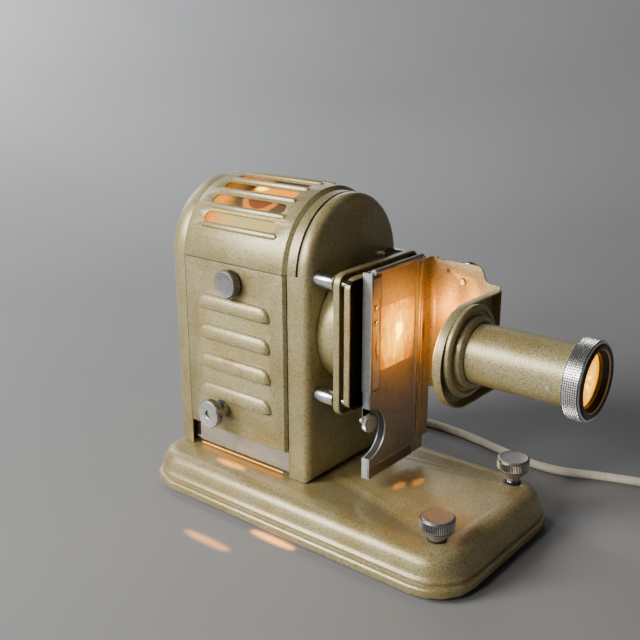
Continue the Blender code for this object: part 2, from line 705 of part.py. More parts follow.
def make_caps(parent):
    loops = cap_loops(HOUSE_FRONT, -1, CAP_RADIUS, FRONT_EDGE, FRONT_CAP_DEPTH)
    front = piece("front_cap", loft(loops), PAINT, parent)
    reach = HULL_RADIUS + CUT
    low = (DOOR_FRONT - CUT, HOUSE_OFFSET - reach, COVER_EDGE - GAP)
    high = (HOUSE_FRONT - FRONT_CAP_CROWN_DEPTH, HOUSE_OFFSET + reach, SPRING_Z + reach)
    start = AXIS_POINT + X_AXIS * (HOUSE_FRONT - SHEET - CUT)
    hole = rod(start, AXIS_POINT + X_AXIS * (HOUSE_FRONT + CUT), LIGHT_HOLE, 40)
    cut(front, merged([box(low, high), hole]), "crown_and_hole")
    loops = cap_loops(HOUSE_REAR, 1, HULL_RADIUS, REAR_EDGE, REAR_CAP_DEPTH)
    piece("rear_cap", loft(loops), PAINT, parent)


def cover_loop(x, radius):
    start = math.asin((COVER_EDGE - SPRING_Z) / radius)
    points = arc((0, SPRING_Z), radius, start, math.pi - start, 24)
    points += arc((0, SPRING_Z), radius - SHEET, math.pi - start, start, 24)
    return at_x(points, x)


def make_cover(parent):
    flange_front = HOUSE_FRONT - FRONT_CAP_CROWN_DEPTH - COVER_GAP
    flange_rear = flange_front - COVER_FLANGE
    main_front = flange_rear - JOGGLE
    loops = [
        cover_loop(COVER_REAR, HULL_RADIUS),
        cover_loop(main_front, HULL_RADIUS),
        cover_loop(flange_rear, CAP_RADIUS),
        cover_loop(flange_front, CAP_RADIUS),
    ]
    cover = piece("top_cover", loft(loops), PAINT, parent)
    ribs = []
    slots = []
    width = RIB_WIDTH / 2
    rib_start, rib_end = COVER_REAR + RIB_REAR_INSET, main_front - RIB_FRONT_INSET
    slot_start, slot_end = COVER_REAR + SLOT_INSET, main_front - SLOT_INSET
    for i in range(RIB_COUNT):
        angle = RIB_FIRST_ANGLE + i * RIB_PITCH
        outward = Vector((0, -math.cos(angle), math.sin(angle)))
        centre = Vector((rib_start, HOUSE_OFFSET, SPRING_Z)) + outward * (HULL_RADIUS + RIB_RISE - width)
        length = rib_end - rib_start
        profile = [
            (radius * width, along * width)
            for radius, along in zip(RIB_END_RADIUS_SHARES, RIB_END_LENGTH_SHARES)
        ]
        profile += [(radius, length - along) for radius, along in profile[::-1]]
        ribs.append(turned(profile, centre, X_AXIS, 8))
        if i == RIB_COUNT - 1:
            break
        angle = SLOT_FIRST_ANGLE + i * RIB_PITCH
        outward = Vector((0, -math.cos(angle), math.sin(angle)))
        along = Vector((0, math.sin(angle), math.cos(angle)))
        centre = Vector((0, HOUSE_OFFSET, SPRING_Z)) + outward * (HULL_RADIUS - SHEET - CUT)
        half = SLOT_WIDTH / 2
        flat = rounded_rectangle((slot_start, -half), (slot_end, half), half, 3)
        outline = [centre + X_AXIS * x + along * t for x, t in flat]
        slots.append(extruded(outline, outward * (SHEET + CUT + CUT)))
    cut(cover, merged(slots), "slots")
    join(cover, merged(ribs), "ribs")


def side_outline(side):
    """Plan of a side sheet with its slanted front return; side is -1 near, 1 far."""
    skin = HULL_RADIUS
    back = HULL_RADIUS - SHEET
    points = [
        (COVER_REAR, skin),
        (DOOR_EDGE, skin),
        (DOOR_FRONT, RETURN_FOOT),
        (DOOR_FRONT - SHEET, RETURN_FOOT),
        (DOOR_EDGE - SHEET, back),
        (COVER_REAR, back),
    ]
    return [(x, HOUSE_OFFSET + side * y) for x, y in points]


def louvre_loops(start, end, foot, top, surface, depth, back):
    """A hood with rounded ends and a level foot: it stands depth out of surface and runs in to back."""
    loops = []
    ease = LOUVRE_EASE_SHARE * LOUVRE_HEIGHT
    turns = [LOUVRE_END_ANGLE + share * (math.pi / 2 - LOUVRE_END_ANGLE) for share in np.linspace(0, 1, 4)]
    stations = [(start + ease * (1 - math.cos(turn)), math.sin(turn)) for turn in turns]
    stations += [(end - ease * (1 - math.cos(turn)), math.sin(turn)) for turn in turns[::-1]]
    for x, scale in stations:
        quarter = arc((0, 0), scale, 0, math.pi / 2, 5)
        points = [(surface - depth * out, foot + (top - foot) * up) for out, up in quarter]
        points += [(back, points[-1][1]), (back, foot)]
        loops.append([Vector((x, y, z)) for y, z in points])
    return loops


def make_sides(parent, door_parent):
    bottom = BASE_TOP + GAP
    top = COVER_EDGE - GAP
    far = extruded(at_z(side_outline(1), bottom), (0, 0, top - bottom))
    piece("far_panel", far, PAINT, parent)
    sill = BASE_TOP + DOOR_SILL
    surface = HOUSE_OFFSET - HULL_RADIUS
    near = extruded(at_z(side_outline(-1), sill), (0, 0, top - sill))
    door = piece("side_door", near, PAINT, door_parent, (COVER_REAR, surface, sill))
    hoods = []
    throats = []
    start = COVER_REAR + LOUVRE_INSET
    end = DOOR_EDGE - LOUVRE_INSET
    for i in range(LOUVRE_COUNT):
        foot = BASE_TOP + LOUVRE_FIRST + i * LOUVRE_PITCH
        top = foot + LOUVRE_HEIGHT
        hood = louvre_loops(start, end, foot, top, surface, LOUVRE_DEPTH, surface + LOUVRE_SINK)
        hoods.append(loft(hood))
        depth = LOUVRE_DEPTH - SHEET
        back = surface + SHEET + CUT
        throat = louvre_loops(start + SHEET, end - SHEET, foot - GAP, top - SHEET, surface, depth, back)
        throats.append(loft(throat))
    join(door, merged(hoods), "louvres")
    stem = Vector((latch_x(), surface, BASE_TOP + LATCH_HEIGHT))
    throats.append(rod(stem - Y_AXIS * CUT, stem + Y_AXIS * (SHEET + CUT), LATCH_STEM + GAP))
    stem = adjuster_point(surface)
    throats.append(rod(stem - Y_AXIS * CUT, stem + Y_AXIS * (SHEET + CUT), ADJUSTER_SPINDLE + GAP))
    cut(door, merged(throats), "openings")


def make_tray(parent):
    near = HOUSE_OFFSET - CAP_RADIUS
    far = HOUSE_OFFSET + RETURN_FOOT - GAP
    low = TRAY_TOP - SHEET
    outline = [(near, low), (far, low), (far, TRAY_TOP), (near + SHEET, TRAY_TOP)]
    outline += [(near + SHEET, low + TRAY_LIP), (near, low + TRAY_LIP)]
    shape = extruded([Vector((COVER_REAR, y, z)) for y, z in outline], (DOOR_FRONT - COVER_REAR, 0, 0))
    tray = piece("floor_tray", shape, ZINC, parent)
    start = (COVER_REAR - CUT, near - CUT, low - CUT)
    corner = box(start, (COVER_REAR + TRAY_NOTCH, near + SHEET + GAP, low + TRAY_LIP + CUT))
    cut(tray, merged([corner] + vents(low - CUT, TRAY_TOP + CUT)), "notch_and_vents")


# Door knob and lamp adjuster
def latch_x():
    return (COVER_REAR + DOOR_EDGE) / 2


def adjuster_point(y):
    return Vector((LAMP_X - ADJUSTER_FROM_LAMP, y, BASE_TOP + ADJUSTER_HEIGHT))


def make_latch(parent):
    back = HOUSE_OFFSET - HULL_RADIUS - LATCH_STANDOFF
    place = Vector((latch_x(), back, BASE_TOP + LATCH_HEIGHT))
    shape = knob(LATCH_RADIUS, LATCH_THICK, place, -Y_AXIS, 28, (LATCH_STEM, LATCH_STEM_LENGTH))
    piece("latch_knob", shape, ALUMINIUM, parent, place)


def make_adjuster(parent):
    surface = HOUSE_OFFSET - HULL_RADIUS
    bore = ADJUSTER_SPINDLE + GAP
    foot = adjuster_point(surface - GAP)
    collar = [(bore, 0), (COLLAR_RADIUS, 0), (COLLAR_RADIUS, COLLAR_LENGTH), (bore, COLLAR_LENGTH)]
    piece("adjuster_collar", turned(collar, foot, -Y_AXIS, 24, True), BLACK, parent, foot)
    back = adjuster_point(foot.y - COLLAR_LENGTH - GAP)
    thick = ADJUSTER_THICK
    radius = ADJUSTER_RADIUS
    head = [
        (bore, 0),
        (radius - KNOB_BEVEL, 0),
        (radius, KNOB_BEVEL),
        (radius, thick - KNOB_BEVEL),
        (radius - KNOB_BEVEL, thick),
        (bore, thick),
    ]
    piece("adjuster_knob", turned(head, back, -Y_AXIS, 28, True), ALUMINIUM, parent, back)
    tip = adjuster_point(HOUSE_OFFSET - LUG_REACH - CARRIAGE_THICK - GAP)
    face = adjuster_point(back.y - thick + ADJUSTER_RECESS)
    piece("adjuster_spindle", rod(tip, face, ADJUSTER_SPINDLE), CHROME, parent, tip)


# Lamp
def make_lamp(parent, carriage_parent):
    low = TRAY_TOP + GAP
    top = low + CARRIAGE_THICK
    half = CARRIAGE_LENGTH / 2
    near = HOUSE_OFFSET - LUG_REACH
    far = HOUSE_OFFSET + LUG_REACH
    origin = Vector((LAMP_X, HOUSE_OFFSET, low))
    plate = box((LAMP_X - half, near - CARRIAGE_THICK, low), (LAMP_X + half, far, top))
    carriage = piece("lamp_carriage", plate, ZINC, carriage_parent, origin)
    centre = adjuster_point(near)
    start = (centre.x - LUG_WIDTH / 2, near - CARRIAGE_THICK, low)
    end = (centre.x + LUG_WIDTH / 2, near, centre.z + LUG_MARGIN)
    join(carriage, box(start, end), "lug")
    seat = top + GAP
    foot = Vector((LAMP_X, HOUSE_OFFSET, seat))
    socket = rod(foot, foot + Z_AXIS * SOCKET_HEIGHT, SOCKET_RADIUS)
    piece("lamp_socket", socket, CERAMIC, carriage_parent, foot)
    foot = foot + Z_AXIS * (SOCKET_HEIGHT + GAP)
    profile = [
        (radius * BULB_RADIUS, height * BULB_HEIGHT)
        for radius, height in zip(BULB_RADIUS_SHARES, BULB_HEIGHT_SHARES)
    ]
    piece("lamp_bulb", turned(profile, foot, Z_AXIS, 16), GLASS, carriage_parent, foot)
    focus = Vector((LAMP_X, HOUSE_OFFSET, AXIS_Z))
    inner = arc((0, 0), MIRROR_RADIUS, 0, MIRROR_HALF_ANGLE, 4)
    outer = arc((0, 0), MIRROR_RADIUS + SHEET, MIRROR_HALF_ANGLE, 0, 4)
    profile = [(across, along) for along, across in inner + outer]
    profile[0] = (0, MIRROR_RADIUS)
    profile[-1] = (0, MIRROR_RADIUS + SHEET)
    piece("lamp_reflector", turned(profile, focus, -X_AXIS, 20), MIRROR, parent, focus)
    start = focus - X_AXIS * (MIRROR_RADIUS + SHEET + GAP)
    end = Vector((HOUSE_REAR + SHEET + GAP, HOUSE_OFFSET, AXIS_Z))
    piece("reflector_stud", rod(start, end, STUD_RADIUS, 16), ZINC, parent, start)


# Condenser
def lens_profile(radius, edge, bulge, steps=4):
    """A plano-convex lens from its flat back to the top of its bulge."""
    sphere = (radius * radius + bulge * bulge) / (2 * bulge)
    spread = math.asin(radius / sphere)
    curve = [
        (sphere * math.sin(a), edge + bulge - sphere * (1 - math.cos(a)))
        for a in np.linspace(spread, 0, steps + 1)
    ]
    curve[-1] = (0, edge + bulge)
    return [(0, 0), (radius, 0)] + curve


def make_condenser(parent):
    origin = AXIS_POINT + X_AXIS * (HOUSE_FRONT + GAP)
    depth = POST_LENGTH - GAP
    bore = CONDENSER_RADIUS + GAP
    wall = DRUM_WALL
    profile = [
        (bore, 0),
        (DRUM_RADIUS, 0),
        (DRUM_RADIUS, depth),
        (DRUM_RADIUS - wall, depth),
        (DRUM_RADIUS - wall, wall),
        (bore + wall, wall),
        (bore + wall, depth),
        (bore, depth),
    ]
    piece("condenser_drum", turned(profile, origin, X_AXIS, 32, True), PAINT, parent, origin)
    lens = lens_profile(CONDENSER_RADIUS, LENS_EDGE, LENS_BULGE)
    place = origin + X_AXIS * LENS_PLAY
    piece("condenser_rear_lens", turned(lens, place, X_AXIS, 20), GLASS, parent, place)
    place = place + X_AXIS * (LENS_EDGE + LENS_BULGE + LENS_PLAY)
    disc = rod(place, place + X_AXIS * FILTER_THICK, CONDENSER_RADIUS)
    piece("heat_filter", disc, GLASS, parent, place)
    place = origin + X_AXIS * (depth - LENS_PLAY)
    piece("condenser_front_lens", turned(lens, place, -X_AXIS, 20), GLASS, parent, place)


# Posts and plates
def make_posts(parent):
    for row, up in (("upper", 1), ("lower", -1)):
        for label, side in (("near", -1), ("far", 1)):
            place = AXIS_POINT + Vector((HOUSE_FRONT + GAP, side * POST_SPREAD, up * POST_SPREAD))
            body = POST_LENGTH - GAP
            reach = FRONT_PLATE_X - GAP - place.x
            profile = [(0, 0), (POST_RADIUS, 0), (POST_RADIUS, body), (STUD_NECK, body), (STUD_NECK, reach)]
            shape = turned(profile + [(0, reach)], place, X_AXIS, 16)
            piece(f"spacer_post_{row}_{label}", shape, CHROME, parent, place)


def pan_loop(x, half_height, middle, inset):
    half = PLATE_HALF_WIDTH
    low = (inset - half, middle - half_height + inset)
    high = (half - inset, middle + half_height - inset)
    return at_x(rounded_rectangle(low, high, PLATE_CORNER - inset), x)


def pan(x, depth, half_height, middle):
    """A plate with a rim turned forward all round."""
    loops = [
        pan_loop(x, half_height, middle, PLATE_EDGE),
        pan_loop(x + PLATE_EDGE, half_height, middle, 0),
        pan_loop(x + depth, half_height, middle, 0),
        pan_loop(x + depth, half_height, middle, SHEET),
        pan_loop(x + SHEET, half_height, middle, SHEET + SHEET),
    ]
    return loft(loops)


def make_plates(parent):
    shape = pan(REAR_PLATE_X, REAR_PLATE_DEPTH, REAR_PLATE_HALF_HEIGHT, AXIS_Z - REAR_PLATE_DROP)
    rear = piece("rear_plate", shape, PAINT, parent)
    start = AXIS_POINT + X_AXIS * (REAR_PLATE_X - CUT)
    holes = [rod(start, AXIS_POINT + X_AXIS * (REAR_PLATE_X + SHEET + CUT), PLATE_OPENING)]
    for up in (1, -1):
        for side in (-1, 1):
            place = AXIS_POINT + Vector((REAR_PLATE_X, side * POST_SPREAD, up * POST_SPREAD))
            holes.append(rod(place - X_AXIS * CUT, place + X_AXIS * (SHEET + CUT), STUD_NECK + GAP, 12))
    cut(rear, merged(holes), "holes")
    shape = pan(FRONT_PLATE_X, FRONT_PLATE_DEPTH, FRONT_PLATE_HALF_HEIGHT, AXIS_Z)
    front = piece("front_plate", shape, PAINT, parent)
    screw = thumb_point(FRONT_PLATE_X)
    low = (FRONT_PLATE_X, screw.y - LUG_HALF_WIDTH, screw.z - LUG_HALF_WIDTH)
    high = (FRONT_PLATE_X + SHEET, screw.y + LUG_HALF_WIDTH, AXIS_Z - FRONT_PLATE_HALF_HEIGHT + PLATE_CORNER)
    join(front, box(low, high), "lug")
    half = WINDOW_HALF_WIDTH - APERTURE_RIM
    tall = WINDOW_HALF_HEIGHT - APERTURE_RIM
    light = rounded_rectangle((-half, AXIS_Z - tall), (half, AXIS_Z + tall), WINDOW_CORNER)
    opening = extruded(at_x(light, FRONT_PLATE_X - CUT), (SHEET + CUT + CUT, 0, 0))
    hole = rod(screw - X_AXIS * CUT, screw + X_AXIS * (SHEET + CUT), THUMB_SHANK + GAP, 16)
    cut(front, merged([opening, hole]), "openings")


# Slide chute
def thumb_point(x):
    return Vector((x, THUMB_Y, THUMB_Z))


def notch(x, depth):
    """The finger notch's cutter through the chute's near edge."""
    centre = Vector((x, HOUSE_OFFSET - CHUTE_NEAR, THUMB_Z - NOTCH_DROP))
    return rod(centre - X_AXIS * CUT, centre + X_AXIS * (depth + CUT), NOTCH_RADIUS, 48)


def window_outline(grow):
    low = (-WINDOW_HALF_WIDTH - grow, AXIS_Z - WINDOW_HALF_HEIGHT - grow)
    high = (WINDOW_HALF_WIDTH + grow, AXIS_Z + WINDOW_HALF_HEIGHT + grow)
    return rounded_rectangle(low, high, WINDOW_CORNER)


def make_chute(parent):
    foot = BASE_TOP + CHUTE_FOOT_HEIGHT
    top = BASE_TOP + CHUTE_TOP_HEIGHT
    front = CHUTE_X + CHUTE_DEPTH
    near = HOUSE_OFFSET - CHUTE_NEAR
    far = HOUSE_OFFSET + CHUTE_FAR
    sheet = CHUTE_SHEET
    plan = [
        (front, near),
        (CHUTE_X, near),
        (CHUTE_X, far),
        (front - sheet, far),
        (front - sheet, far + CHUTE_WING),
        (front, far + CHUTE_WING),
        (front, far - sheet),
        (CHUTE_X + sheet, far - sheet),
        (CHUTE_X + sheet, near + sheet),
        (front, near + sheet),
    ]
    tall = top - CHUTE_BACK_DROP - foot
    channel = piece("slide_channel", extruded(at_z(plan, foot), (0, 0, tall)), ZINC, parent)
    light = extruded(at_x(window_outline(0), CHUTE_X - CUT), (sheet + CUT + CUT, 0, 0))
    cut(channel, merged([notch(CHUTE_X, CHUTE_DEPTH), light]), "notch_and_window")
    wing = box(
        (CHUTE_X, far + GAP, ARM_FLANGE_TOP - SHEET),
        (front + CUT, far + CHUTE_WING + CUT, top + CUT),
    )
    cut(channel, wing, "wing_top")
    bottom = BASE_TOP + FRONT_SHEET_HEIGHT
    curve = FRONT_SHEET_HEIGHT - CHUTE_FOOT_HEIGHT
    hem_z = top - HEM_RADIUS
    side = ARM_NEAR_EDGE - ARM_FRONT_SHEET_GAP
    outline = [(side, bottom), (side, hem_z), (-CHUTE_NEAR, hem_z), (-CHUTE_NEAR, foot)]
    outline.append((TONGUE_WIDTH - CHUTE_NEAR, foot))
    outline += arc((TONGUE_WIDTH + curve - CHUTE_NEAR, foot), curve, math.pi, math.pi / 2, 5)[1:]
    shape = extruded(at_x(outline, FRONT_SHEET_X), (sheet, 0, 0))
    sheet_front = piece("chute_front", shape, ZINC, parent)
    start = Vector((FRONT_SHEET_X + HEM_RADIUS, HOUSE_OFFSET - CHUTE_NEAR + sheet, hem_z))
    end = Vector((start.x, HOUSE_OFFSET + ARM_NEAR_EDGE - GAP, hem_z))
    join(sheet_front, rod(start, end, HEM_RADIUS, 12), "hem")
    low = (FRONT_SHEET_X, HOUSE_OFFSET - CHUTE_NEAR + TONGUE_WIDTH / 2, foot)
    high = (FRONT_SHEET_X + FRONT_LIP_THICK, HOUSE_OFFSET + side, bottom + sheet)
    join(sheet_front, box(low, high), "lip")
    light = extruded(at_x(window_outline(0), FRONT_SHEET_X - CUT), (sheet + CUT + CUT, 0, 0))
    cut(sheet_front, merged([notch(FRONT_SHEET_X, sheet), light]), "notch_and_window")
    make_aperture(parent)
    make_springs(parent)
    make_thumb_screw(parent)


def make_aperture(parent):
    x = FRONT_PLATE_X + SHEET + GAP
    frame = extruded(at_x(window_outline(APERTURE_BORDER), x), (APERTURE_THICK, 0, 0))
    aperture = piece("aperture_frame", frame, BLACK, parent)
    light = extruded(at_x(window_outline(-APERTURE_RIM), x - CUT), (APERTURE_THICK + CUT + CUT, 0, 0))
    cut(aperture, light, "light")


def make_springs(parent):
    inside = FRONT_SHEET_X + CHUTE_SHEET + GAP
    outside = inside + SPRING_THICK
    near = HOUSE_OFFSET - CHUTE_NEAR
    plan = [
        (CHUTE_X, near - GAP - SPRING_THICK),
        (outside, near - GAP - SPRING_THICK),
        (outside, near + NEAR_SPRING_WIDTH),
        (inside, near + NEAR_SPRING_WIDTH),
        (inside, near - GAP),
        (CHUTE_X, near - GAP),
    ]
    shape = extruded(at_z(plan, BASE_TOP + NEAR_SPRING_FOOT), (0, 0, NEAR_SPRING_LENGTH))
    spring = piece("slide_spring_near", shape, ZINC, parent)
    under_hem = BASE_TOP + CHUTE_TOP_HEIGHT - HEM_RADIUS - HEM_RADIUS - GAP
    corner = (outside + CUT, near + NEAR_SPRING_WIDTH + CUT, BASE_TOP + CHUTE_TOP_HEIGHT)
    cut(spring, box((inside - CUT, near - GAP / 2, under_hem), corner), "hem_room")
    for i, label in enumerate(("lower", "upper")):
        height = NEAR_SPRING_FOOT + RIVET_FIRST + i * RIVET_PITCH
        place = Vector((outside + GAP, near + RIVET_INSET, BASE_TOP + height))
        head = [
            (radius * RIVET_RADIUS, along * RIVET_HEAD)
            for radius, along in zip(RIVET_RADIUS_SHARES, RIVET_HEAD_SHARES)
        ]
        piece(f"spring_rivet_{label}", turned(head, place, X_AXIS, 12), CHROME, parent, place)
    x = FRONT_SHEET_X + ARM_SHEET + GAP
    near = HOUSE_OFFSET + ARM_NEAR_EDGE + FAR_SPRING_INSET
    low = BASE_TOP + FAR_SPRING_FOOT
    corner = Vector((x + SPRING_THICK, near + FAR_SPRING_WIDTH, low + FAR_SPRING_LENGTH))
    piece("slide_spring_far", box((x, near, low), corner), ZINC, parent)


def make_thumb_screw(parent):
    back = thumb_point(FRONT_PLATE_X + SHEET + GAP)
    tail = SHEET + GAP + THUMB_TAIL
    shape = knob(THUMB_RADIUS, THUMB_THICK, back, X_AXIS, 24, (THUMB_SHANK, tail))
    piece("thumb_screw", shape, CHROME, parent, back)


# Lens bracket
def make_arm(parent):
    front = FRONT_SHEET_X + ARM_SHEET
    side = HOUSE_OFFSET + ARM_SIDE
    near = HOUSE_OFFSET + ARM_NEAR_EDGE
    tip = ARM_END
    centre = (front + ARM_BEND, side - ARM_BEND)
    inner = arc(centre, ARM_BEND, math.pi, math.pi / 2, 5)
    outer = arc(centre, ARM_BEND + ARM_SHEET, math.pi / 2, math.pi, 5)
    plan = [(front, near)] + inner + [(tip, side), (tip, side + ARM_SHEET)] + outer + [(FRONT_SHEET_X, near)]
    low = BASE_TOP + ARM_FOOT_HEIGHT
    high = ARM_FLANGE_TOP
    arm = piece("lens_arm", extruded(at_z(plan, low), (0, 0, high - low)), PAINT, parent)
    away = high - low
    cutters = [
        arm_trim(1, centre[0], side, away),
        arm_trim(-1, front + GAP, near - GAP, away),
    ]
    corner = [(near - GAP, high - ARM_CORNER), (near - GAP, high + CUT), (near + ARM_CORNER, high + CUT)]
    corner += arc((near + ARM_CORNER, high - ARM_CORNER), ARM_CORNER, math.pi / 2, math.pi, 5)
    outline = [Vector((FRONT_SHEET_X - CUT, y, z)) for y, z in corner]
    cutters.append(extruded(outline, (ARM_SHEET + CUT + CUT, 0, 0)))
    screw = clamp_point(side)
    cutters.append(rod(screw - Y_AXIS * CUT, screw + Y_AXIS * (ARM_SHEET + CUT), CLAMP_SHANK + GAP, 16))
    for i, cutter in enumerate(cutters):
        cut(arm, cutter, f"trim_{i}")


def arm_trim(up, start, near, away):
    """What is cut from the arm above its stepped top (up is 1) or below its stepped underside (up is -1)."""
    middle = (ARM_TOP + ARM_UNDERSIDE) / 2
    half = (ARM_TOP - ARM_UNDERSIDE) / 2
    tip_half = half - ARM_STEP_HEIGHT
    tip = ARM_END + CUT
    step = LENS_PLATE_X - ARM_STEP_SETBACK
    points = [(start, away), (start, half)]
    points += [
        (step + along * ARM_STEP_LENGTH, tip_half + share * ARM_STEP_HEIGHT)
        for along, share in zip(ARM_STEP_LENGTH_SHARES, ARM_STEP_HEIGHT_SHARES)
    ]
    points += [(tip, tip_half), (tip, away)]
    outline = [Vector((x, near - CUT, middle + up * z)) for x, z in points]
    return extruded(outline, (0, HOUSE_OFFSET + ARM_SIDE + ARM_SHEET + CUT + CUT - near, 0))


def clamp_point(y):
    return Vector((LENS_PLATE_X - CLAMP_SETBACK, y, ARM_TOP - CLAMP_FROM_TOP))


def make_clamp_knob(parent):
    face = HOUSE_OFFSET + ARM_SIDE + ARM_SHEET + GAP
    place = clamp_point(face)
    tail = ARM_SHEET + GAP + CLAMP_TIP
    shape = knob(CLAMP_RADIUS, CLAMP_THICK, place, Y_AXIS, 24, (CLAMP_SHANK, tail))
    piece("clamp_knob", shape, ALUMINIUM, parent, place)


def lens_plate_loop(x, inset):
    """Round on the near side, square where it meets the arm."""
    radius = LENS_PLATE_RADIUS - inset
    far = ARM_SIDE - GAP - inset
    points = [(far, LENS_PLATE_Z + radius)]
    points += arc((LENS_PLATE_SHIFT, LENS_PLATE_Z), radius, math.pi / 2, math.pi * 3 / 2, 22)
    return at_x(points + [(far, LENS_PLATE_Z - radius)], x)


def make_lens_plate(parent):
    depth = LENS_PLATE_DEPTH
    loops = [
        lens_plate_loop(LENS_PLATE_X, LENS_PLATE_EDGE),
        lens_plate_loop(LENS_PLATE_X + LENS_PLATE_EDGE, 0),
        lens_plate_loop(LENS_PLATE_X + depth, 0),
        lens_plate_loop(LENS_PLATE_X + depth, SHEET),
        lens_plate_loop(LENS_PLATE_X + SHEET, SHEET + SHEET),
    ]
    plate = piece("lens_plate", loft(loops), PAINT, parent)
    start = AXIS_POINT + X_AXIS * (LENS_PLATE_X - CUT)
    cut(plate, rod(start, AXIS_POINT + X_AXIS * (LENS_PLATE_X + SHEET + CUT), LENS_PLATE_BORE, 32), "bore")


def make_socket(parent):
    origin = AXIS_POINT + X_AXIS * SOCKET_X
    bore = BARREL_RADIUS + SOCKET_RUN
    rise = SOCKET_RIM - bore
    seat = LENS_PLATE_DEPTH - SHEET
    profile = [(bore, 0), (SOCKET_NECK, 0), (SOCKET_NECK, seat), (SOCKET_RIM, seat)]
    profile += [
        (bore + share * rise, SOCKET_DEPTH * along)
        for share, along in zip(SOCKET_RADIUS_SHARES, SOCKET_DEPTH_SHARES)
    ]
    profile.append((bore, SOCKET_DEPTH))
    piece("lens_socket", turned(profile, origin, X_AXIS, 32, True), PAINT, parent, origin)


# Lens
def make_lens(parent, ring_parent):
    origin = AXIS_POINT + X_AXIS * BARREL_REAR
    length = BARREL_FRONT - BARREL_REAR
    tube = [(BARREL_BORE, 0), (BARREL_RADIUS, 0), (BARREL_RADIUS, length), (BARREL_BORE, length)]
    piece("lens_tube", turned(tube, origin, X_AXIS, 32, True), PAINT, parent, origin)
    glass = BARREL_BORE - GAP
    lens = lens_profile(glass, GLASS_EDGE, GLASS_BULGE)
    place = origin + X_AXIS * (REAR_GLASS_INSET + GLASS_EDGE + GLASS_BULGE)
    piece("rear_glass", turned(lens, place, -X_AXIS, 20), GLASS, parent, place)
    place = origin + X_AXIS * (length - GLASS_EDGE - GAP)
    piece("front_glass", turned(lens, place, X_AXIS, 20), GLASS, parent, place)
    start = AXIS_POINT + X_AXIS * RING_REAR
    bore = BARREL_RADIUS + GAP
    step = RING_GRIP + GAP
    ring = [
        (bore, 0),
        (RING_RADIUS - RING_EDGE, 0),
        (RING_RADIUS, RING_EDGE),
        (RING_RADIUS, RING_WIDTH - RING_EDGE),
        (RING_RADIUS - RING_EDGE, RING_WIDTH),
        (RING_RECESS, RING_WIDTH),
        (RING_RECESS, step),
        (bore, step),
    ]
    piece("focus_ring", turned(ring, start, X_AXIS, 36, True), ALUMINIUM, ring_parent, start)
    place = start + X_AXIS * (step + GAP)
    reach = RING_WIDTH + BEZEL_PROUD - step - GAP
    outer = RING_RECESS - GAP
    bezel = [
        (BEZEL_OPENING, 0),
        (outer, 0),
        (outer, reach - RING_EDGE),
        (outer - RING_EDGE, reach),
        (BEZEL_FACE, reach),
        (BEZEL_OPENING, BEZEL_LIP),
    ]
    piece("lens_bezel", turned(bezel, place, X_AXIS, 32, True), BLACK, ring_parent, place)


# Mains cord
def gland_ends():
    outside = BASE_WIDTH / 2 - BASE_FLARE
    x = HOUSE_FRONT - GLAND_REACH
    start = Vector((x, outside - BASE_WALL - GLAND_INSIDE, GLAND_Z))
    return start, Vector((x, outside + GLAND_OUTSIDE, GLAND_Z))


def smooth_route(points, step):
    """Evenly spaced points of a smooth curve through points."""
    points = [Vector(point) for point in points]
    guided = [2 * points[0] - points[1]] + points + [2 * points[-1] - points[-2]]
    fine = []
    for a, b, c, d in zip(guided, guided[1:], guided[2:], guided[3:]):
        for t in np.linspace(0, 1, 24, endpoint=False):
            pull = (c - a) * t + (2 * a - 5 * b + 4 * c - d) * t**2 + (3 * b - a - 3 * c + d) * t**3
            fine.append(b + pull / 2)
    fine.append(points[-1])
    steps = [0.0]
    for a, b in zip(fine, fine[1:]):
        steps.append(steps[-1] + (b - a).length)
    count = max(2, round(steps[-1] / step) + 1)
    places = np.linspace(0, steps[-1], count)
    columns = [np.interp(places, steps, [point[i] for point in fine]) for i in range(3)]
    return [Vector(row) for row in zip(*columns)]


def cord(name, points, resolution, parent):
    """A round tube through points."""
    data = bpy.data.curves.new(name, "CURVE")
    data.dimensions = "3D"
    data.bevel_depth = CORD_RADIUS
    data.bevel_resolution = resolution
    data.use_fill_caps = True
    spline = data.splines.new("POLY")
    spline.points.add(len(points) - 1)
    for target, point in zip(spline.points, points):
        target.co = (*point, 1)
    data.materials.append(material(CREAM))
    obj = bpy.data.objects.new(name, data)
    obj.parent = parent
    bpy.context.scene.collection.objects.link(obj)
    return obj


def coil_points():
    """Two layers: in over the surface, up through half a turn, and out again on top, then on to the plug."""
    low = CORD_RADIUS + CORD_LIFT
    total = COIL_TURNS * math.tau
    middle = total / 2
    points = []
    for angle in np.linspace(0, total, round(COIL_TURNS * COIL_STEPS) + 1):
        inward = (middle - abs(angle - middle)) / math.tau
        radius = COIL_RADIUS - COIL_PITCH * inward
        climb = min(max((angle - middle) / math.pi + 0.5, 0), 1)
        climb = climb * climb * (3 - 2 * climb)
        turn = COIL_START + angle
        x = COIL_CENTRE[0] + radius * math.cos(turn)
        y = COIL_CENTRE[1] + radius * math.sin(turn)
        points.append(Vector((x, y, low + COIL_PITCH * climb)))
    end, heading = points[-1], tail_heading()
    rise = PLUG_RADIUS + CORD_LIFT - end.z
    for i in range(1, COIL_TAIL_STEPS + 1):
        share = i / (COIL_TAIL_STEPS - 1)
        lift = min(share, 1)
        lift = rise * lift * lift * (3 - 2 * lift)
        points.append(end + heading * (COIL_TAIL * i / COIL_TAIL_STEPS) + Z_AXIS * lift)
    return points


def tail_heading():
    turn = COIL_START + COIL_TURNS * math.tau
    return Vector((-math.sin(turn), math.cos(turn), 0))


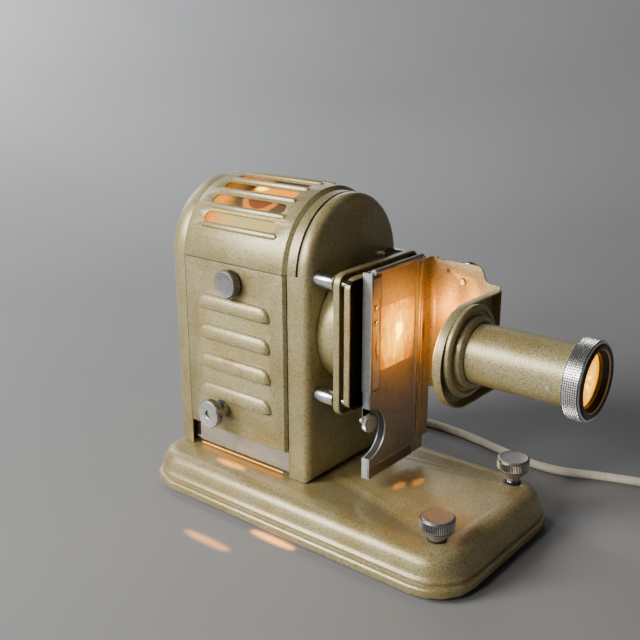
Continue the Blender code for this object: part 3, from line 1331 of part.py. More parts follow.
def least_gap(points):
    """The least distance between the tube's surfaces at points more than two diameters apart along it."""
    places = np.array([tuple(point) for point in points])
    run = np.concatenate([[0], np.cumsum(np.linalg.norm(np.diff(places, axis=0), axis=1))])
    apart = np.abs(run[:, None] - run[None, :]) > COIL_SAME_TURN
    fine = (places[:-1] + places[1:]) / 2
    both = np.linalg.norm(places[:, None, :] - fine[None, :, :], axis=2)
    corner = np.linalg.norm(places[:, None, :] - places[None, :, :], axis=2)
    return min(both[apart[:, :-1]].min(), corner[apart].min()) - 2 * CORD_RADIUS


def make_cord(parent):
    start, end = gland_ends()
    bore = CORD_RADIUS + GAP
    length = (end - start).length
    profile = [(bore, 0), (GLAND_RADIUS, 0), (GLAND_RADIUS, length), (bore, length)]
    piece("strain_relief", turned(profile, start, Y_AXIS, 16, True), RUBBER, parent, start)
    coil = coil_points()
    entry = coil[0] - (coil[1] - coil[0]).normalized() * GAP
    approach = entry - (coil[1] - coil[0]).normalized() * COIL_APPROACH
    exit_point = end + Y_AXIS * GAP
    lead = smooth_route([exit_point, *CORD_ROUTE, approach, entry], CORD_STEP)
    cord("cord_lead", lead, 2, parent)
    cord("cord_coil", coil, 1, parent)
    print("least gap of the coil to itself, mm:", round(least_gap(coil) / MM, 2))
    heading = tail_heading()
    foot = coil[-1] + heading * GAP
    profile = [
        (radius * PLUG_RADIUS, along * PLUG_LENGTH)
        for radius, along in zip(PLUG_RADIUS_SHARES, PLUG_LENGTH_SHARES)
    ]
    profile = [(0, 0)] + profile[1:] + [(0, PLUG_LENGTH)]
    piece("plug_body", turned(profile, foot, heading, 20), BAKELITE, parent, foot)
    across = heading.cross(Z_AXIS)
    for label, side in (("left", -1), ("right", 1)):
        place = foot + heading * (PLUG_LENGTH + GAP) + across * (side * PIN_SPREAD)
        pin = rod(place, place + heading * PIN_LENGTH, PIN_RADIUS, 12)
        piece(f"plug_pin_{label}", pin, BRASS, parent, place)


def main():
    clear_scene()
    base = group("base_group")
    house = group("lamp_house_group")
    door = group("door_group", (latch_x(), HOUSE_OFFSET - HULL_RADIUS, BASE_TOP + LATCH_HEIGHT))
    carriage = group("carriage_group", (LAMP_X, HOUSE_OFFSET, TRAY_TOP))
    gate = group("gate_group", (FRONT_SHEET_X, HOUSE_OFFSET, AXIS_Z))
    lens = group("lens_group", (BARREL_REAR, HOUSE_OFFSET, AXIS_Z))
    mains = group("mains_group")
    make_base(base)
    make_underside(base)
    make_levelling_screws(base)
    make_caps(house)
    make_cover(house)
    make_sides(house, door)
    make_tray(house)
    make_latch(door)
    make_adjuster(door)
    make_lamp(house, carriage)
    make_condenser(gate)
    make_posts(gate)
    make_plates(gate)
    make_chute(gate)
    make_arm(gate)
    make_clamp_knob(gate)
    make_lens_plate(gate)
    make_socket(gate)
    make_lens(lens, lens)
    make_cord(mains)


main()
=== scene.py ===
"""Looks of a mains slide projector: hammered enamel, turned and knurled knobs, a lit lamp and a cream cord.

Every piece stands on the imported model's frame. Lengths are metres unless a line says mm. +X runs along the
optical axis towards the lens, +Z is up and the lamp house's door is on the -Y side.
"""

import json
import math
from functools import cache

import bmesh
import bpy
from bpy.props import FloatProperty, FloatVectorProperty, IntProperty, PointerProperty
from mathutils import Matrix, Vector

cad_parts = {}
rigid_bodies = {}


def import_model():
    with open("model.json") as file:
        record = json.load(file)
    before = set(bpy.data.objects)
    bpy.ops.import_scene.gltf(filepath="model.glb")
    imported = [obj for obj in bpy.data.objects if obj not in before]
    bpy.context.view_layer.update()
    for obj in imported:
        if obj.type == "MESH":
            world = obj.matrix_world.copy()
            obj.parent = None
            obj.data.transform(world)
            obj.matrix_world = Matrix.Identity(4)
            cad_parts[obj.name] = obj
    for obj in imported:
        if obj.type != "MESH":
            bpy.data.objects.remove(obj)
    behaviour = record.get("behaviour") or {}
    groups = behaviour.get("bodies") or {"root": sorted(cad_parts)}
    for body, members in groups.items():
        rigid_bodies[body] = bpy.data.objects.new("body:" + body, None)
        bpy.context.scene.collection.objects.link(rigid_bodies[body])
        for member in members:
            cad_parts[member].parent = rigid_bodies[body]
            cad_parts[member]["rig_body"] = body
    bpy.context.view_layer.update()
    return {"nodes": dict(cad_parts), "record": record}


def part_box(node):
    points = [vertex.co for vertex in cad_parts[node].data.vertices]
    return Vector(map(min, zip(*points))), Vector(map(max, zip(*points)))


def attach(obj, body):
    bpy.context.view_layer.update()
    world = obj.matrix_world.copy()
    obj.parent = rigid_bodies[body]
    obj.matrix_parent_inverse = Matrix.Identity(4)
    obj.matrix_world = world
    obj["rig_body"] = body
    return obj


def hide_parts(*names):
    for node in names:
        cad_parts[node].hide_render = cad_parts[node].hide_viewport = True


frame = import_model()

bl_info = {
    "name": "Slide projector",
    "version": (1, 0, 0),
    "blender": (4, 5, 0),
    "location": "View3D > Sidebar > Projector",
    "description": "Builds the pieces and finishes of a slide projector around its frame",
    "category": "Object",
}

MM = 0.001
X_AXIS, Y_AXIS, Z_AXIS = Vector((1, 0, 0)), Vector((0, 1, 0)), Vector((0, 0, 1))
OPEN = (None, None)
WELD = 0.002 * MM
BODY_OF = {name: node["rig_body"] for name, node in frame["nodes"].items()}
SLOT_OF = {part["node"]: part["material_slot"] for part in frame["record"]["subparts"]}


def centre_of(node):
    low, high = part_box(node)
    return (low + high) / 2


def round_node(node, axis):
    """A round node's radius in mm, the middle of its low end, and its length in mm along the axis."""
    low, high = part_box(node)
    size = high - low
    length = size.dot(axis)
    return (size.y if axis == X_AXIS else size.x) / 2 / MM, (low + high - axis * length) / 2, length / MM


_, AXIS_Y, AXIS_Z = centre_of("focus_ring")
LAMP = centre_of("lamp_bulb")
SPRING_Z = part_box("top_cover")[0].z - 1.6 * MM
FRONT_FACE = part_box("slide_spring_near")[1].x - 1.1 * MM

# The lowest louvre's foot, the step from one louvre to the next, and the eyelet in the lens arm
LOUVRE_FOOT, LOUVRE_PITCH = 81.1 * MM, 24.2 * MM
EYELET = Vector((0.0318, 0.0545, 0.1862))

# The cord's route and coil, as in the part's source
CORD_RADIUS, CORD_GAP, CORD_LIFT = 3.5 * MM, 0.3 * MM, 0.1 * MM
CORD_EXIT = Vector((-0.1170, 0.0828, 0.0170))
CORD_ROUTE_MM = (
    (-117, 90, 16.5), (-114, 112, 9), (-101, 133, 4), (-79, 150, 3.6), (-52, 160, 3.6), (-10, 159, 3.6),
    (33, 151, 3.6), (66, 145, 3.6), (94, 148, 3.6), (121, 159, 3.6), (150, 169.5, 3.6), (176, 176.8, 3.6),
)
COIL_CENTRE = Vector((0.2115, 0.2285, 0))
COIL_RADIUS, COIL_PITCH = 49.0 * MM, 7.5 * MM
COIL_TURNS, COIL_STEPS = 6.25, 24
COIL_START = math.radians(-100)
COIL_TAIL, COIL_TAIL_STEPS, COIL_APPROACH = 34.0 * MM, 5, 7.0 * MM
PLUG_RADIUS = 15.0 * MM


# Sizes and colours that a user may change
def colour(name, description, default):
    return FloatVectorProperty(
        name=name, description=description, default=default, subtype="COLOR", size=3, min=0, max=1
    )


class ProjectorSizes(bpy.types.PropertyGroup):
    """Sizes of the fine forms."""

    edge_round: FloatProperty(
        name="Edge rounding", description="Width of a sheet edge's rounding", default=0.3 * MM, unit="LENGTH"
    )
    knurl_teeth: IntProperty(
        name="Knurl teeth", description="Teeth round a levelling knob's rim", default=60, min=24
    )
    knurl_depth: FloatProperty(
        name="Knurl depth", description="Depth of the knurls on the knobs", default=0.5 * MM, unit="LENGTH"
    )
    ring_columns: IntProperty(
        name="Ring columns", description="Knurl studs round the focus ring", default=104, min=24
    )
    ring_rows: IntProperty(
        name="Ring rows", description="Rows of knurl studs on the focus ring", default=7, min=2
    )
    speckle: FloatProperty(
        name="Speckle", description="Size of the enamel's hammered cells", default=1.0 * MM, unit="LENGTH"
    )


class ProjectorColours(bpy.types.PropertyGroup):
    """Colours of the finishes and of the lamp's light."""

    enamel: colour("Enamel", "Main colour of the hammered enamel", (0.43, 0.37, 0.185))
    fleck: colour("Fleck", "Darker flecks in the enamel", (0.16, 0.115, 0.045))
    zinc: colour("Zinc", "Plated sheet of the slide chute", (0.52, 0.55, 0.58))
    cord: colour("Cord", "Sheath of the mains cord", (0.84, 0.76, 0.60))
    floor: colour("Floor", "Plain pale floor", (0.25, 0.25, 0.252))
    glow: colour("Lamp light", "Colour of the lamp's light", (1.0, 0.34, 0.012))
    glow_power: FloatProperty(
        name="Lamp power", description="Power of the lamp's light", default=1.0, min=0, unit="POWER"
    )
    key_power: FloatProperty(
        name="Key power", description="Power of the large soft light", default=40, min=0, unit="POWER"
    )


def sizes():
    return bpy.context.scene.projector_sizes


def colours():
    return bpy.context.scene.projector_colours


# Shader maths
class Wire:
    """A node's output that Python's operators work on."""

    def __init__(self, sheet, socket):
        self.sheet, self.socket = sheet, socket

    def maths(self, operation, *others):
        return self.sheet.maths(operation, self, *others)

    def __add__(self, other):
        return self.maths("ADD", other)

    def __sub__(self, other):
        return self.maths("SUBTRACT", other)

    def __rsub__(self, other):
        return self.sheet.maths("SUBTRACT", other, self)

    def __mul__(self, other):
        return self.maths("MULTIPLY", other)

    def __truediv__(self, other):
        return self.maths("DIVIDE", other)

    __radd__, __rmul__ = __add__, __mul__

    def between(self, low, high):
        """0 below low, 1 above high, smooth between them."""
        inputs = {"Value": self, "From Min": low, "From Max": high}
        return self.sheet.node("ShaderNodeMapRange", {"interpolation_type": "SMOOTHSTEP"}, inputs)


def times(tone, share):
    """A tone times a number, or times another tone, at most 1."""
    shares = share if isinstance(share, tuple) else (share,) * 3
    return tuple(min(1, a * b) for a, b in zip(tone, shares))


class Sheet:
    """A material's nodes. Sizes of noise, cells, edges, bumps and soft borders are in mm."""

    def __init__(self, name):
        self.material = bpy.data.materials.new(name)
        self.material.use_nodes = True
        self.tree = self.material.node_tree
        self.shader = self.tree.nodes["Principled BSDF"]

    def node(self, kind, settings=(), inputs=(), output=0):
        made = self.tree.nodes.new(kind)
        for key, value in dict(settings).items():
            if key == "stops":
                self.set_stops(made.color_ramp.elements, value)
            else:
                setattr(made, key, value)
        for key, value in dict(inputs).items():
            self.feed(made.inputs[key], value)
        return Wire(self, made.outputs[output])

    def set_stops(self, ramp, stops):
        """Gives a ramp its stops, each a position and a tone."""
        for _ in stops[len(ramp):]:
            ramp.new(1)
        for stop, (position, tone) in zip(ramp, stops):
            stop.position, stop.color = position, (*tone, 1)

    def feed(self, socket, value):
        if isinstance(value, Wire):
            self.tree.links.new(value.socket, socket)
        elif isinstance(value, (tuple, Vector)) and len(value) == 3 and socket.type == "RGBA":
            socket.default_value = (*value, 1)
        else:
            socket.default_value = value

    def maths(self, operation, *values):
        return self.node("ShaderNodeMath", {"operation": operation}, enumerate(values))

    def vector(self, operation, *values, output=0):
        return self.node("ShaderNodeVectorMath", {"operation": operation}, enumerate(values), output)

    def mix(self, first, second, factor):
        return self.node("ShaderNodeMix", {"data_type": "RGBA"}, {0: factor, 6: first, 7: second}, 2)

    def coats(self, body, *coats):
        """Lays tones over a body, each with its mask."""
        for tone, mask in coats:
            body = self.mix(body, tone, mask)
        return body

    def place(self):
        return self.node("ShaderNodeTexCoord", output=3)

    def parts(self):
        """The three object coordinates."""
        split = self.node("ShaderNodeSeparateXYZ", inputs={0: self.place()})
        return [Wire(self, socket) for socket in split.socket.node.outputs]

    def from_centre(self, centre, stretch=(1, 1, 1)):
        """Object coordinates counted from a centre and stretched by axis."""
        return self.vector("MULTIPLY", self.vector("SUBTRACT", self.place(), tuple(centre)), stretch)

    def away(self, centre, stretch=(1, 1, 1)):
        """How far a point is from a centre."""
        return self.vector("LENGTH", self.from_centre(centre, stretch), output=1)

    def ahead(self):
        """1 where the surface faces +X."""
        return self.vector("DOT_PRODUCT", self.node("ShaderNodeTexCoord", output=1), (1, 0, 0), output=1)

    def noise(self, size, detail=3, roughness=0.55, at=None, distortion=0.0):
        """Noise with features of about that size."""
        inputs = {"Vector": at or self.place(), "Scale": 1 / (size * MM), "Detail": detail}
        inputs |= {"Roughness": roughness, "Distortion": distortion}
        return self.node("ShaderNodeTexNoise", (), inputs)

    def cells(self, size, at=None, output=0):
        inputs = {"Vector": at or self.place(), "Scale": 1 / (size * MM)}
        return self.node("ShaderNodeTexVoronoi", (), inputs, output)

    # Ambient occlusion, 0 in hollows and creases: used to paint shade there
    def cavity_shade(self, reach):
        return self.node("ShaderNodeAmbientOcclusion", {"samples": 4}, {"Distance": reach * MM}, 1)

    def within(self, soft, x=OPEN, y=OPEN, z=OPEN):
        """1 inside limits in metres of the object coordinates, None for an open side, fading over soft."""
        inside = None
        for part, limits in zip(self.parts(), (x, y, z)):
            for limit, sign in zip(limits, (1, -1)):
                if limit is not None:
                    mask = ((part - limit) * sign).between(-soft * MM, soft * MM)
                    inside = mask if inside is None else inside * mask
        return inside

    def spot(self, centre, radius, stretch=(1, 1, 1)):
        """1 at a centre, 0 past a radius, with a ragged rim."""
        reach = radius * MM
        ragged = self.away(centre, stretch) + (self.noise(radius * 0.5, 4, 0.7) - 0.5) * (reach * 0.9)
        return 1 - ragged.between(reach * 0.35, reach)

    def edges(self, radius):
        """About 1 on edges sharper than the radius, 0 on flats."""
        rounded = self.node("ShaderNodeBevel", {"samples": 4}, {"Radius": radius * MM})
        flat = self.node("ShaderNodeNewGeometry", output=1)
        return (1 - self.vector("DOT_PRODUCT", rounded, flat, output=1)).between(0.02, 0.16)

    def rubbed(self):
        """Edges worn in patches."""
        return self.edges(0.4) * self.noise(2, 3).between(0.4, 0.65)

    def bump(self, height, distance, strength=1.0, normal=None):
        inputs = {"Height": height, "Distance": distance * MM, "Strength": strength}
        return self.node("ShaderNodeBump", (), {**inputs, **({"Normal": normal} if normal else {})})

    def finish(self, **inputs):
        """Sets the shader's sockets, named with _ for a space, and gives the material."""
        for key, value in inputs.items():
            self.feed(self.shader.inputs[key.replace("_", " ")], value)
        return self.material


# Finishes
def enamel(name="hammered_enamel", shaded=None):
    """Beige-gold hammered enamel: small dished cells, brown flecks between them, worn edges, painted shade in
    hollows, and dark joint lines with painted shade under the cover's edge and the louvres.

    Inside the limits named shaded, shade is painted on: the paint goes near black and loses its coat."""
    sheet = Sheet(name)
    main, size = tuple(colours().enamel), sizes().speckle / MM
    warp = sheet.node(
        "ShaderNodeVectorMath", {"operation": "SCALE"}, {0: sheet.noise(size * 2.4, 2), 3: size * 0.9 * MM}
    )
    dish = sheet.cells(size, sheet.vector("ADD", sheet.place(), warp))
    fine = sheet.noise(size * 0.5, 3, 0.6)
    cloud = sheet.noise(26, 3, 0.5)
    fleck = (dish + fine * 0.5).between(0.68, 1.0)
    worn = sheet.edges(0.7) * sheet.noise(5, 4, 0.7).between(0.42, 0.6)
    light = times(main, 1.3)
    body = sheet.coats(
        times(main, (0.90, 0.82, 0.62)),
        (main, cloud.between(0.35, 0.62)),
        (light, fine.between(0.5, 0.75) * 0.4),
        (tuple(colours().fleck), fleck * 0.68),
    )
    # Painted shade: hollows and creases go dark brown
    body = sheet.mix((0.10, 0.07, 0.035), body, sheet.cavity_shade(3).between(0.1, 0.55) * 0.55 + 0.45)
    body = sheet.mix(body, light, worn * 0.75)
    soot = 0.0
    # Painted shade: near black, rougher and without a coat inside the limits
    if shaded:
        soot = sheet.within(0.2, **shaded)
        body = sheet.mix(body, (0.006, 0.004, 0.002), soot)
    else:
        body = sheet.coats(
            body,
            # Dark joint lines, and painted shade under the cover's edge and under the louvres
            ((0.035, 0.025, 0.015), house_joints_and_shade(sheet)),
            ((0.24, 0.10, 0.03), sheet.spot(Vector((-0.097, -0.0503, 0.1141)), 4.5, (0.45, 1, 1)) * 0.8),
            ((0.50, 0.50, 0.50), sheet.spot(Vector((0.1468, -0.0104, 0.1425)), 2.4) * 0.9),
            ((0.03, 0.02, 0.012), sheet.spot(EYELET, 2.6) * 0.9),
        )
    return sheet.finish(
        Base_Color=body,
        Metallic=0.4,
        Roughness=0.31 + fine * 0.14 + cloud * 0.08 + soot * 0.4,
        Coat_Weight=0.6 - soot * 0.6,
        Coat_Roughness=0.3,
        Normal=sheet.bump(fine, 0.05, 0.45, sheet.bump(dish, 0.10, 0.6)),
    )


def house_joints_and_shade(sheet):
    """Dark lines on the house: painted shade under the cover's lower edge and under the louvres, a joint line
    beside the door's rear edge and a faint line 6 mm below the cover's edge.
    """
    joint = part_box("top_cover")[0].z
    low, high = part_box("side_door")
    side = {"y": (None, low.y + 5.5 * MM)}
    edge = sheet.within(0.12, x=(low.x, high.x), z=(joint - 0.55 * MM, joint + 0.2 * MM), **side)
    fold = sheet.within(0.2, x=(low.x, high.x), z=(joint - 6.2 * MM, joint - 5.8 * MM), **side)
    rear = sheet.within(0.15, x=(low.x - 0.45 * MM, low.x + 0.1 * MM), z=(low.z, None), **side)
    # Painted shade in a band under each louvre's lip
    turn = ((sheet.parts()[2] - LOUVRE_FOOT) / LOUVRE_PITCH).maths("FRACT")
    rows = {"x": (low.x + 13 * MM, high.x - 15 * MM), "z": (LOUVRE_FOOT - 3 * MM, None)}
    under = turn.between(0.885, 0.915) * sheet.within(0.8, y=(None, low.y + 5 * MM), **rows)
    under = under * sheet.within(1.0, z=(None, LOUVRE_FOOT + 3.1 * LOUVRE_PITCH))
    joints_and_shade = edge * 0.85
    for mask in (fold * 0.22, rear * 0.55, under * 0.7):
        joints_and_shade = joints_and_shade.maths("MAXIMUM", mask)
    return joints_and_shade


def plate_face():
    """The front plate's face inside its rim, where shade is painted on."""
    low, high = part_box("front_plate")
    rim = 1.3 * MM
    return {"x": (low.x + 0.9 * MM, None), "y": (low.y + rim, high.y - rim), "z": (low.z + rim, high.z - rim)}


def turned_aluminium(node, axis, rim, depth=None, gain=1.0):
    """Aluminium with lathe rings round the axis; painted shade darkens a knurl's grooves and other hollows.
    Its rim and depth are in mm.
    """
    depth = depth * MM if depth else sizes().knurl_depth
    rim *= MM
    sheet = Sheet(f"aluminium_{node}")
    across = sheet.from_centre(centre_of(node), tuple(1.0 - abs(value) for value in axis))
    radius = sheet.vector("LENGTH", across, output=1)
    rings = sheet.noise(0.30, 2, 0.7, at=sheet.node("ShaderNodeCombineXYZ", inputs={0: radius}))
    wide = sheet.noise(1.5, 2, 0.6, at=sheet.node("ShaderNodeCombineXYZ", inputs={0: radius, 1: 0.3}))
    haze = sheet.noise(4, 3, 0.6)
    groove = 1 - (radius - (rim - depth)).between(0.0, depth * 0.8)
    knurl_groove_shade = groove * (radius - (rim - depth * 1.3)).between(0.0, depth * 0.2)
    # gain makes a lighter or darker copy of the aluminium for each piece: painted light and shade
    dull, bright = times((0.60, 0.59, 0.57), gain), times((0.74, 0.73, 0.71), gain)
    body = sheet.mix(dull, bright, haze.between(0.3, 0.65))
    # Painted shade in hollows and in the knurl's grooves
    body = sheet.mix((0.07, 0.065, 0.06), body, sheet.cavity_shade(0.9).between(0.3, 0.9))
    body = sheet.mix(body, (0.025, 0.022, 0.02), knurl_groove_shade * 0.95)
    outward = sheet.vector("NORMALIZE", across)
    outward = sheet.node("ShaderNodeVectorTransform", {"vector_type": "VECTOR"}, {0: outward})
    tilt = ((rings - 0.5) * 1.3 + (wide - 0.5) * 0.5) * (1 - knurl_groove_shade)
    lean = sheet.node("ShaderNodeVectorMath", {"operation": "SCALE"}, {0: outward, 3: tilt})
    flat = sheet.node("ShaderNodeNewGeometry", output=1)
    normal = sheet.vector("NORMALIZE", sheet.vector("ADD", flat, lean))
    rough = 0.24 + haze * 0.12 + groove * 0.2
    return sheet.finish(Base_Color=body, Metallic=1.0, Roughness=rough, Normal=normal)


def chrome():
    """Plated steel with fine drawn streaks along X and a few pits."""
    sheet = Sheet("chrome")
    streak = sheet.noise(0.9, 3, 0.6, at=sheet.vector("MULTIPLY", sheet.place(), (0.08, 1, 1)))
    pits = 1 - sheet.cells(1.8).between(0.04, 0.12)
    body = sheet.mix((0.45, 0.45, 0.46), (0.64, 0.64, 0.65), sheet.noise(9, 3).between(0.3, 0.6))
    body = sheet.mix(body, (0.22, 0.19, 0.16), pits * 0.6)
    rough = 0.17 + streak * 0.14 + pits * 0.3
    return sheet.finish(Base_Color=body, Metallic=1.0, Roughness=rough, Normal=sheet.bump(streak, 0.01, 0.35))


def zinc(name="plated_sheet", tint=(1, 1, 1), metal=0.7, rust=0.0, marks=None):
    """Dull plated sheet: pale spangles, upright scratches, darker spots and rust, a piece's own marks, and a
    painted highlight along every edge.
    """
    sheet = Sheet(name)
    look = times(colours().zinc, tint)
    shade = sheet.node("ShaderNodeSeparateColor", inputs={0: sheet.cells(5, output=1)})
    scratch = sheet.noise(0.5, 4, 0.7, at=sheet.vector("MULTIPLY", sheet.place(), (1, 1, 0.06)))
    spots = sheet.noise(2.2, 5, 0.75).between(0.6, 0.72)
    stain = sheet.noise(4.5, 5, 0.7).between(0.46, 0.66)
    body = sheet.coats(
        times(look, 0.72),
        (look, shade * 0.5 + scratch * 0.5),
        ((0.33, 0.19, 0.10), stain * rust),
        (times(look, 0.35), spots * 0.5),
        *(marks(sheet) if marks else ()),
        # A painted highlight along every edge
        ((0.80, 0.81, 0.82), sheet.edges(0.5) * 0.8),
    )
    rough = 0.34 + scratch * 0.16 + spots * 0.14 + stain * (rust * 0.2)
    normal = sheet.bump(stain, 0.03, 0.4 * rust, sheet.bump(scratch, 0.015, 0.5))
    return sheet.finish(Base_Color=body, Metallic=metal, Roughness=rough, Normal=normal)


def sheet_marks(sheet):
    """The front sheet's lower edge: painted highlights along the fold and along the bottom edge, darker
    between them, and a painted shadow line by the far spring.
    """
    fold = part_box("chute_front")[0].z + 9 * MM
    return (
        # Darker below the fold; painted highlights on the fold and the bottom edge; a painted shadow line
        ((0.17, 0.15, 0.13), sheet.within(0.3, z=(None, fold)) * 0.7),
        ((0.80, 0.78, 0.74), sheet.within(0.12, y=(-11.0 * MM, None), z=(fold, fold + 0.8 * MM)) * 0.9),
        ((0.70, 0.68, 0.64), sheet.within(0.12, z=(None, fold - 8.2 * MM)) * 0.8),
        ((0.01, 0.008, 0.006), sheet.within(0.12, y=(34.2 * MM, 35.0 * MM)) * 0.9),
    )


def leaf_marks(sheet):
    """The near spring's front leaf: its outline, its slot with a bright tongue, and dirt round the rivets."""
    low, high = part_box("slide_spring_near")
    front = sheet.within(0.1, x=(FRONT_FACE + 0.2 * MM, None), y=(low.y + 1.2 * MM, None))
    across, upright = (low.y + 2.2 * MM, high.y - 0.9 * MM), (low.z + 1.4 * MM, high.z - 4.2 * MM)
    inner = sheet.within(0.35, y=across, z=upright)
    slot = sheet.spot(Vector((high.x, high.y - 4.6 * MM, low.z + 31.5 * MM)), 3.0, (0, 1, 0.27))
    tongue = sheet.spot(Vector((high.x, high.y - 3.6 * MM, low.z + 33 * MM)), 1.7, (0, 1, 0.22))
    lower = sheet.spot(centre_of("spring_rivet_lower"), 3.6, (0, 1, 1))
    upper = sheet.spot(centre_of("spring_rivet_upper"), 3.6, (0, 1, 1))
    waist = sheet.within(0.5, z=(low.z + 43 * MM, low.z + 69 * MM))
    waist = waist * sheet.within(0.3, y=(high.y - 2.6 * MM, None))
    return (
        ((0.03, 0.02, 0.012), front * (1 - inner) * 0.92),
        ((0.06, 0.04, 0.025), front * waist * 0.7),
        ((0.07, 0.045, 0.03), front * lower.maths("MAXIMUM", upper) * 0.7),
        ((0.02, 0.014, 0.01), front * slot * 0.95),
        ((0.85, 0.66, 0.36), front * tongue * 0.9),
    )


def far_marks(sheet):
    """The far spring: a dark slot, two screw heads over it and one under it."""
    low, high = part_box("slide_spring_far")
    middle = (low.y + high.y) / 2
    marks = [((0.03, 0.02, 0.012), sheet.spot(Vector((high.x, middle, 0.140)), 2.2, (0, 1, 0.18)) * 0.85)]
    for height in (0.1665, 0.1575, 0.1105):
        for radius, tone in ((2.6, (0.06, 0.035, 0.02)), (1.4, (0.62, 0.44, 0.26))):
            marks.append((tone, sheet.spot(Vector((high.x, middle, height)), radius, (0, 1, 1)) * 0.8))
    return marks


def slot_glow():
    """The lining under the slots, with the lamp's light and shade painted on it: pale, glowing orange at its
    rear end, dark further up, with a glowing ring and a painted glint.
    """
    sheet = Sheet("slot_lining")
    x, y, _ = sheet.parts()
    wave = sheet.noise(9, 3, 0.6)
    x = x + (wave - 0.5) * (9 * MM)
    rear = 1 - x.between(-0.126, -0.107)
    second, third, fourth = (y.between(start, start + 0.003) for start in (-0.0300, -0.0150, 0.0010))
    ring = sheet.away(Vector((-0.088, -0.010, 0)), (1, 1, 0))
    disc = (1 - ring.between(0.0160, 0.0166)) * second
    crescent = ring.between(0.0150, 0.0158) * (1 - ring.between(0.0185, 0.0210)) * second
    hot = sheet.away(Vector((-0.0985, -0.0055, 0)), (0.8, 1.2, 0))
    # Painted shade: dark at the rear end, on the rows further up and on the disc
    body = sheet.coats(
        (0.46, 0.36, 0.09),
        ((0.07, 0.04, 0.014), second),
        ((0.05, 0.02, 0.005), disc),
        ((0.04, 0.015, 0.001), rear.maths("MAXIMUM", third)),
    )
    # Painted lamp light, as glow, with a painted glint at hot
    glow = sheet.coats(
        (0.020, 0.013, 0.001),
        ((0.008, 0.003, 0.0003), second),
        ((0.26, 0.078, 0.0001), rear * (1 - third * 0.7)),
        ((0.06, 0.012, 0.0001), disc * (1 - rear) * 0.8),
        ((0.19, 0.052, 0.0002), crescent * (1 - third) * (1 - rear)),
        ((0.31, 0.100, 0.0001), x.between(-0.108, -0.098) * third * (1 - fourth)),
        ((0.24, 0.075, 0.0003), fourth * (1 - x.between(-0.104, -0.098))),
        ((1.0, 0.66, 0.02), 1 - hot.between(0.0020, 0.0060)),
    )
    rough = 0.5 + wave * 0.2
    return sheet.finish(Base_Color=body, Roughness=rough, Emission_Color=glow, Emission_Strength=6.0)


def black_bezel():
    """Worn black lacquer: a grey rubbed face, a thin bright line at its inner edge and a dark cone."""
    sheet = Sheet("bezel_lacquer")
    radius = sheet.away(centre_of("lens_bezel"), (0, 1, 1))
    rubbed = sheet.noise(3, 5, 0.7)
    face = sheet.ahead().between(0.8, 0.95) * radius.between(21.2 * MM, 21.6 * MM)
    line = radius.between(20.6 * MM, 20.9 * MM) * (1 - radius.between(21.2 * MM, 21.5 * MM))
    body = sheet.coats(
        (0.012, 0.009, 0.007),
        ((0.10, 0.092, 0.085), face * (rubbed.between(0.3, 0.6) * 0.7 + 0.3)),
        ((0.30, 0.29, 0.27), face * rubbed.between(0.56, 0.66) * 0.5),
        ((0.45, 0.43, 0.40), line * 0.8),
        ((0.42, 0.40, 0.38), sheet.rubbed() * 0.6),
    )
    return sheet.finish(Base_Color=body, Roughness=0.34 + rubbed * 0.2, Normal=sheet.bump(rubbed, 0.02, 0.4))


def moulding(name, tone, rough, worn, grain):
    """A moulded or lacquered surface in one tone, with dust, handling marks and a light grain."""
    sheet = Sheet(name)
    dust = sheet.noise(6, 5, 0.7).between(0.5, 0.75)
    peel = sheet.noise(grain, 2, 0.5)
    dusty = tuple(min(1, value * 1.5 + 0.03) for value in tone)
    body = sheet.coats(tone, (dusty, dust * 0.6), (worn, sheet.rubbed() * 0.5))
    rough = rough + dust * 0.14 + peel * 0.06
    return sheet.finish(Base_Color=body, Roughness=rough, Normal=sheet.bump(peel, 0.03, 0.5))


def mirror():
    sheet = Sheet("silvered_mirror")
    haze = sheet.noise(12, 4, 0.6)
    body = sheet.mix((0.80, 0.78, 0.72), (0.92, 0.92, 0.92), haze.between(0.35, 0.6))
    return sheet.finish(Base_Color=body, Metallic=1.0, Roughness=0.05 + haze * 0.1)


def brass():
    sheet = Sheet("brass")
    stain = sheet.noise(3, 4, 0.65)
    body = sheet.mix((0.42, 0.27, 0.11), (0.76, 0.57, 0.27), stain.between(0.35, 0.6))
    return sheet.finish(Base_Color=body, Metallic=1.0, Roughness=0.24 + stain * 0.2)


def clear_glass(name, tint, alpha):
    """Thin glass that lets the lamp's light by: a see-through body with a glossy skin."""
    sheet = Sheet(name)
    smear = sheet.noise(9, 4, 0.6).between(0.45, 0.75)
    body = sheet.mix(tint, (0.95, 0.95, 0.92), smear * 0.4)
    return sheet.finish(Base_Color=body, Roughness=0.04 + smear * 0.1, Alpha=alpha, Specular_IOR_Level=0.8)


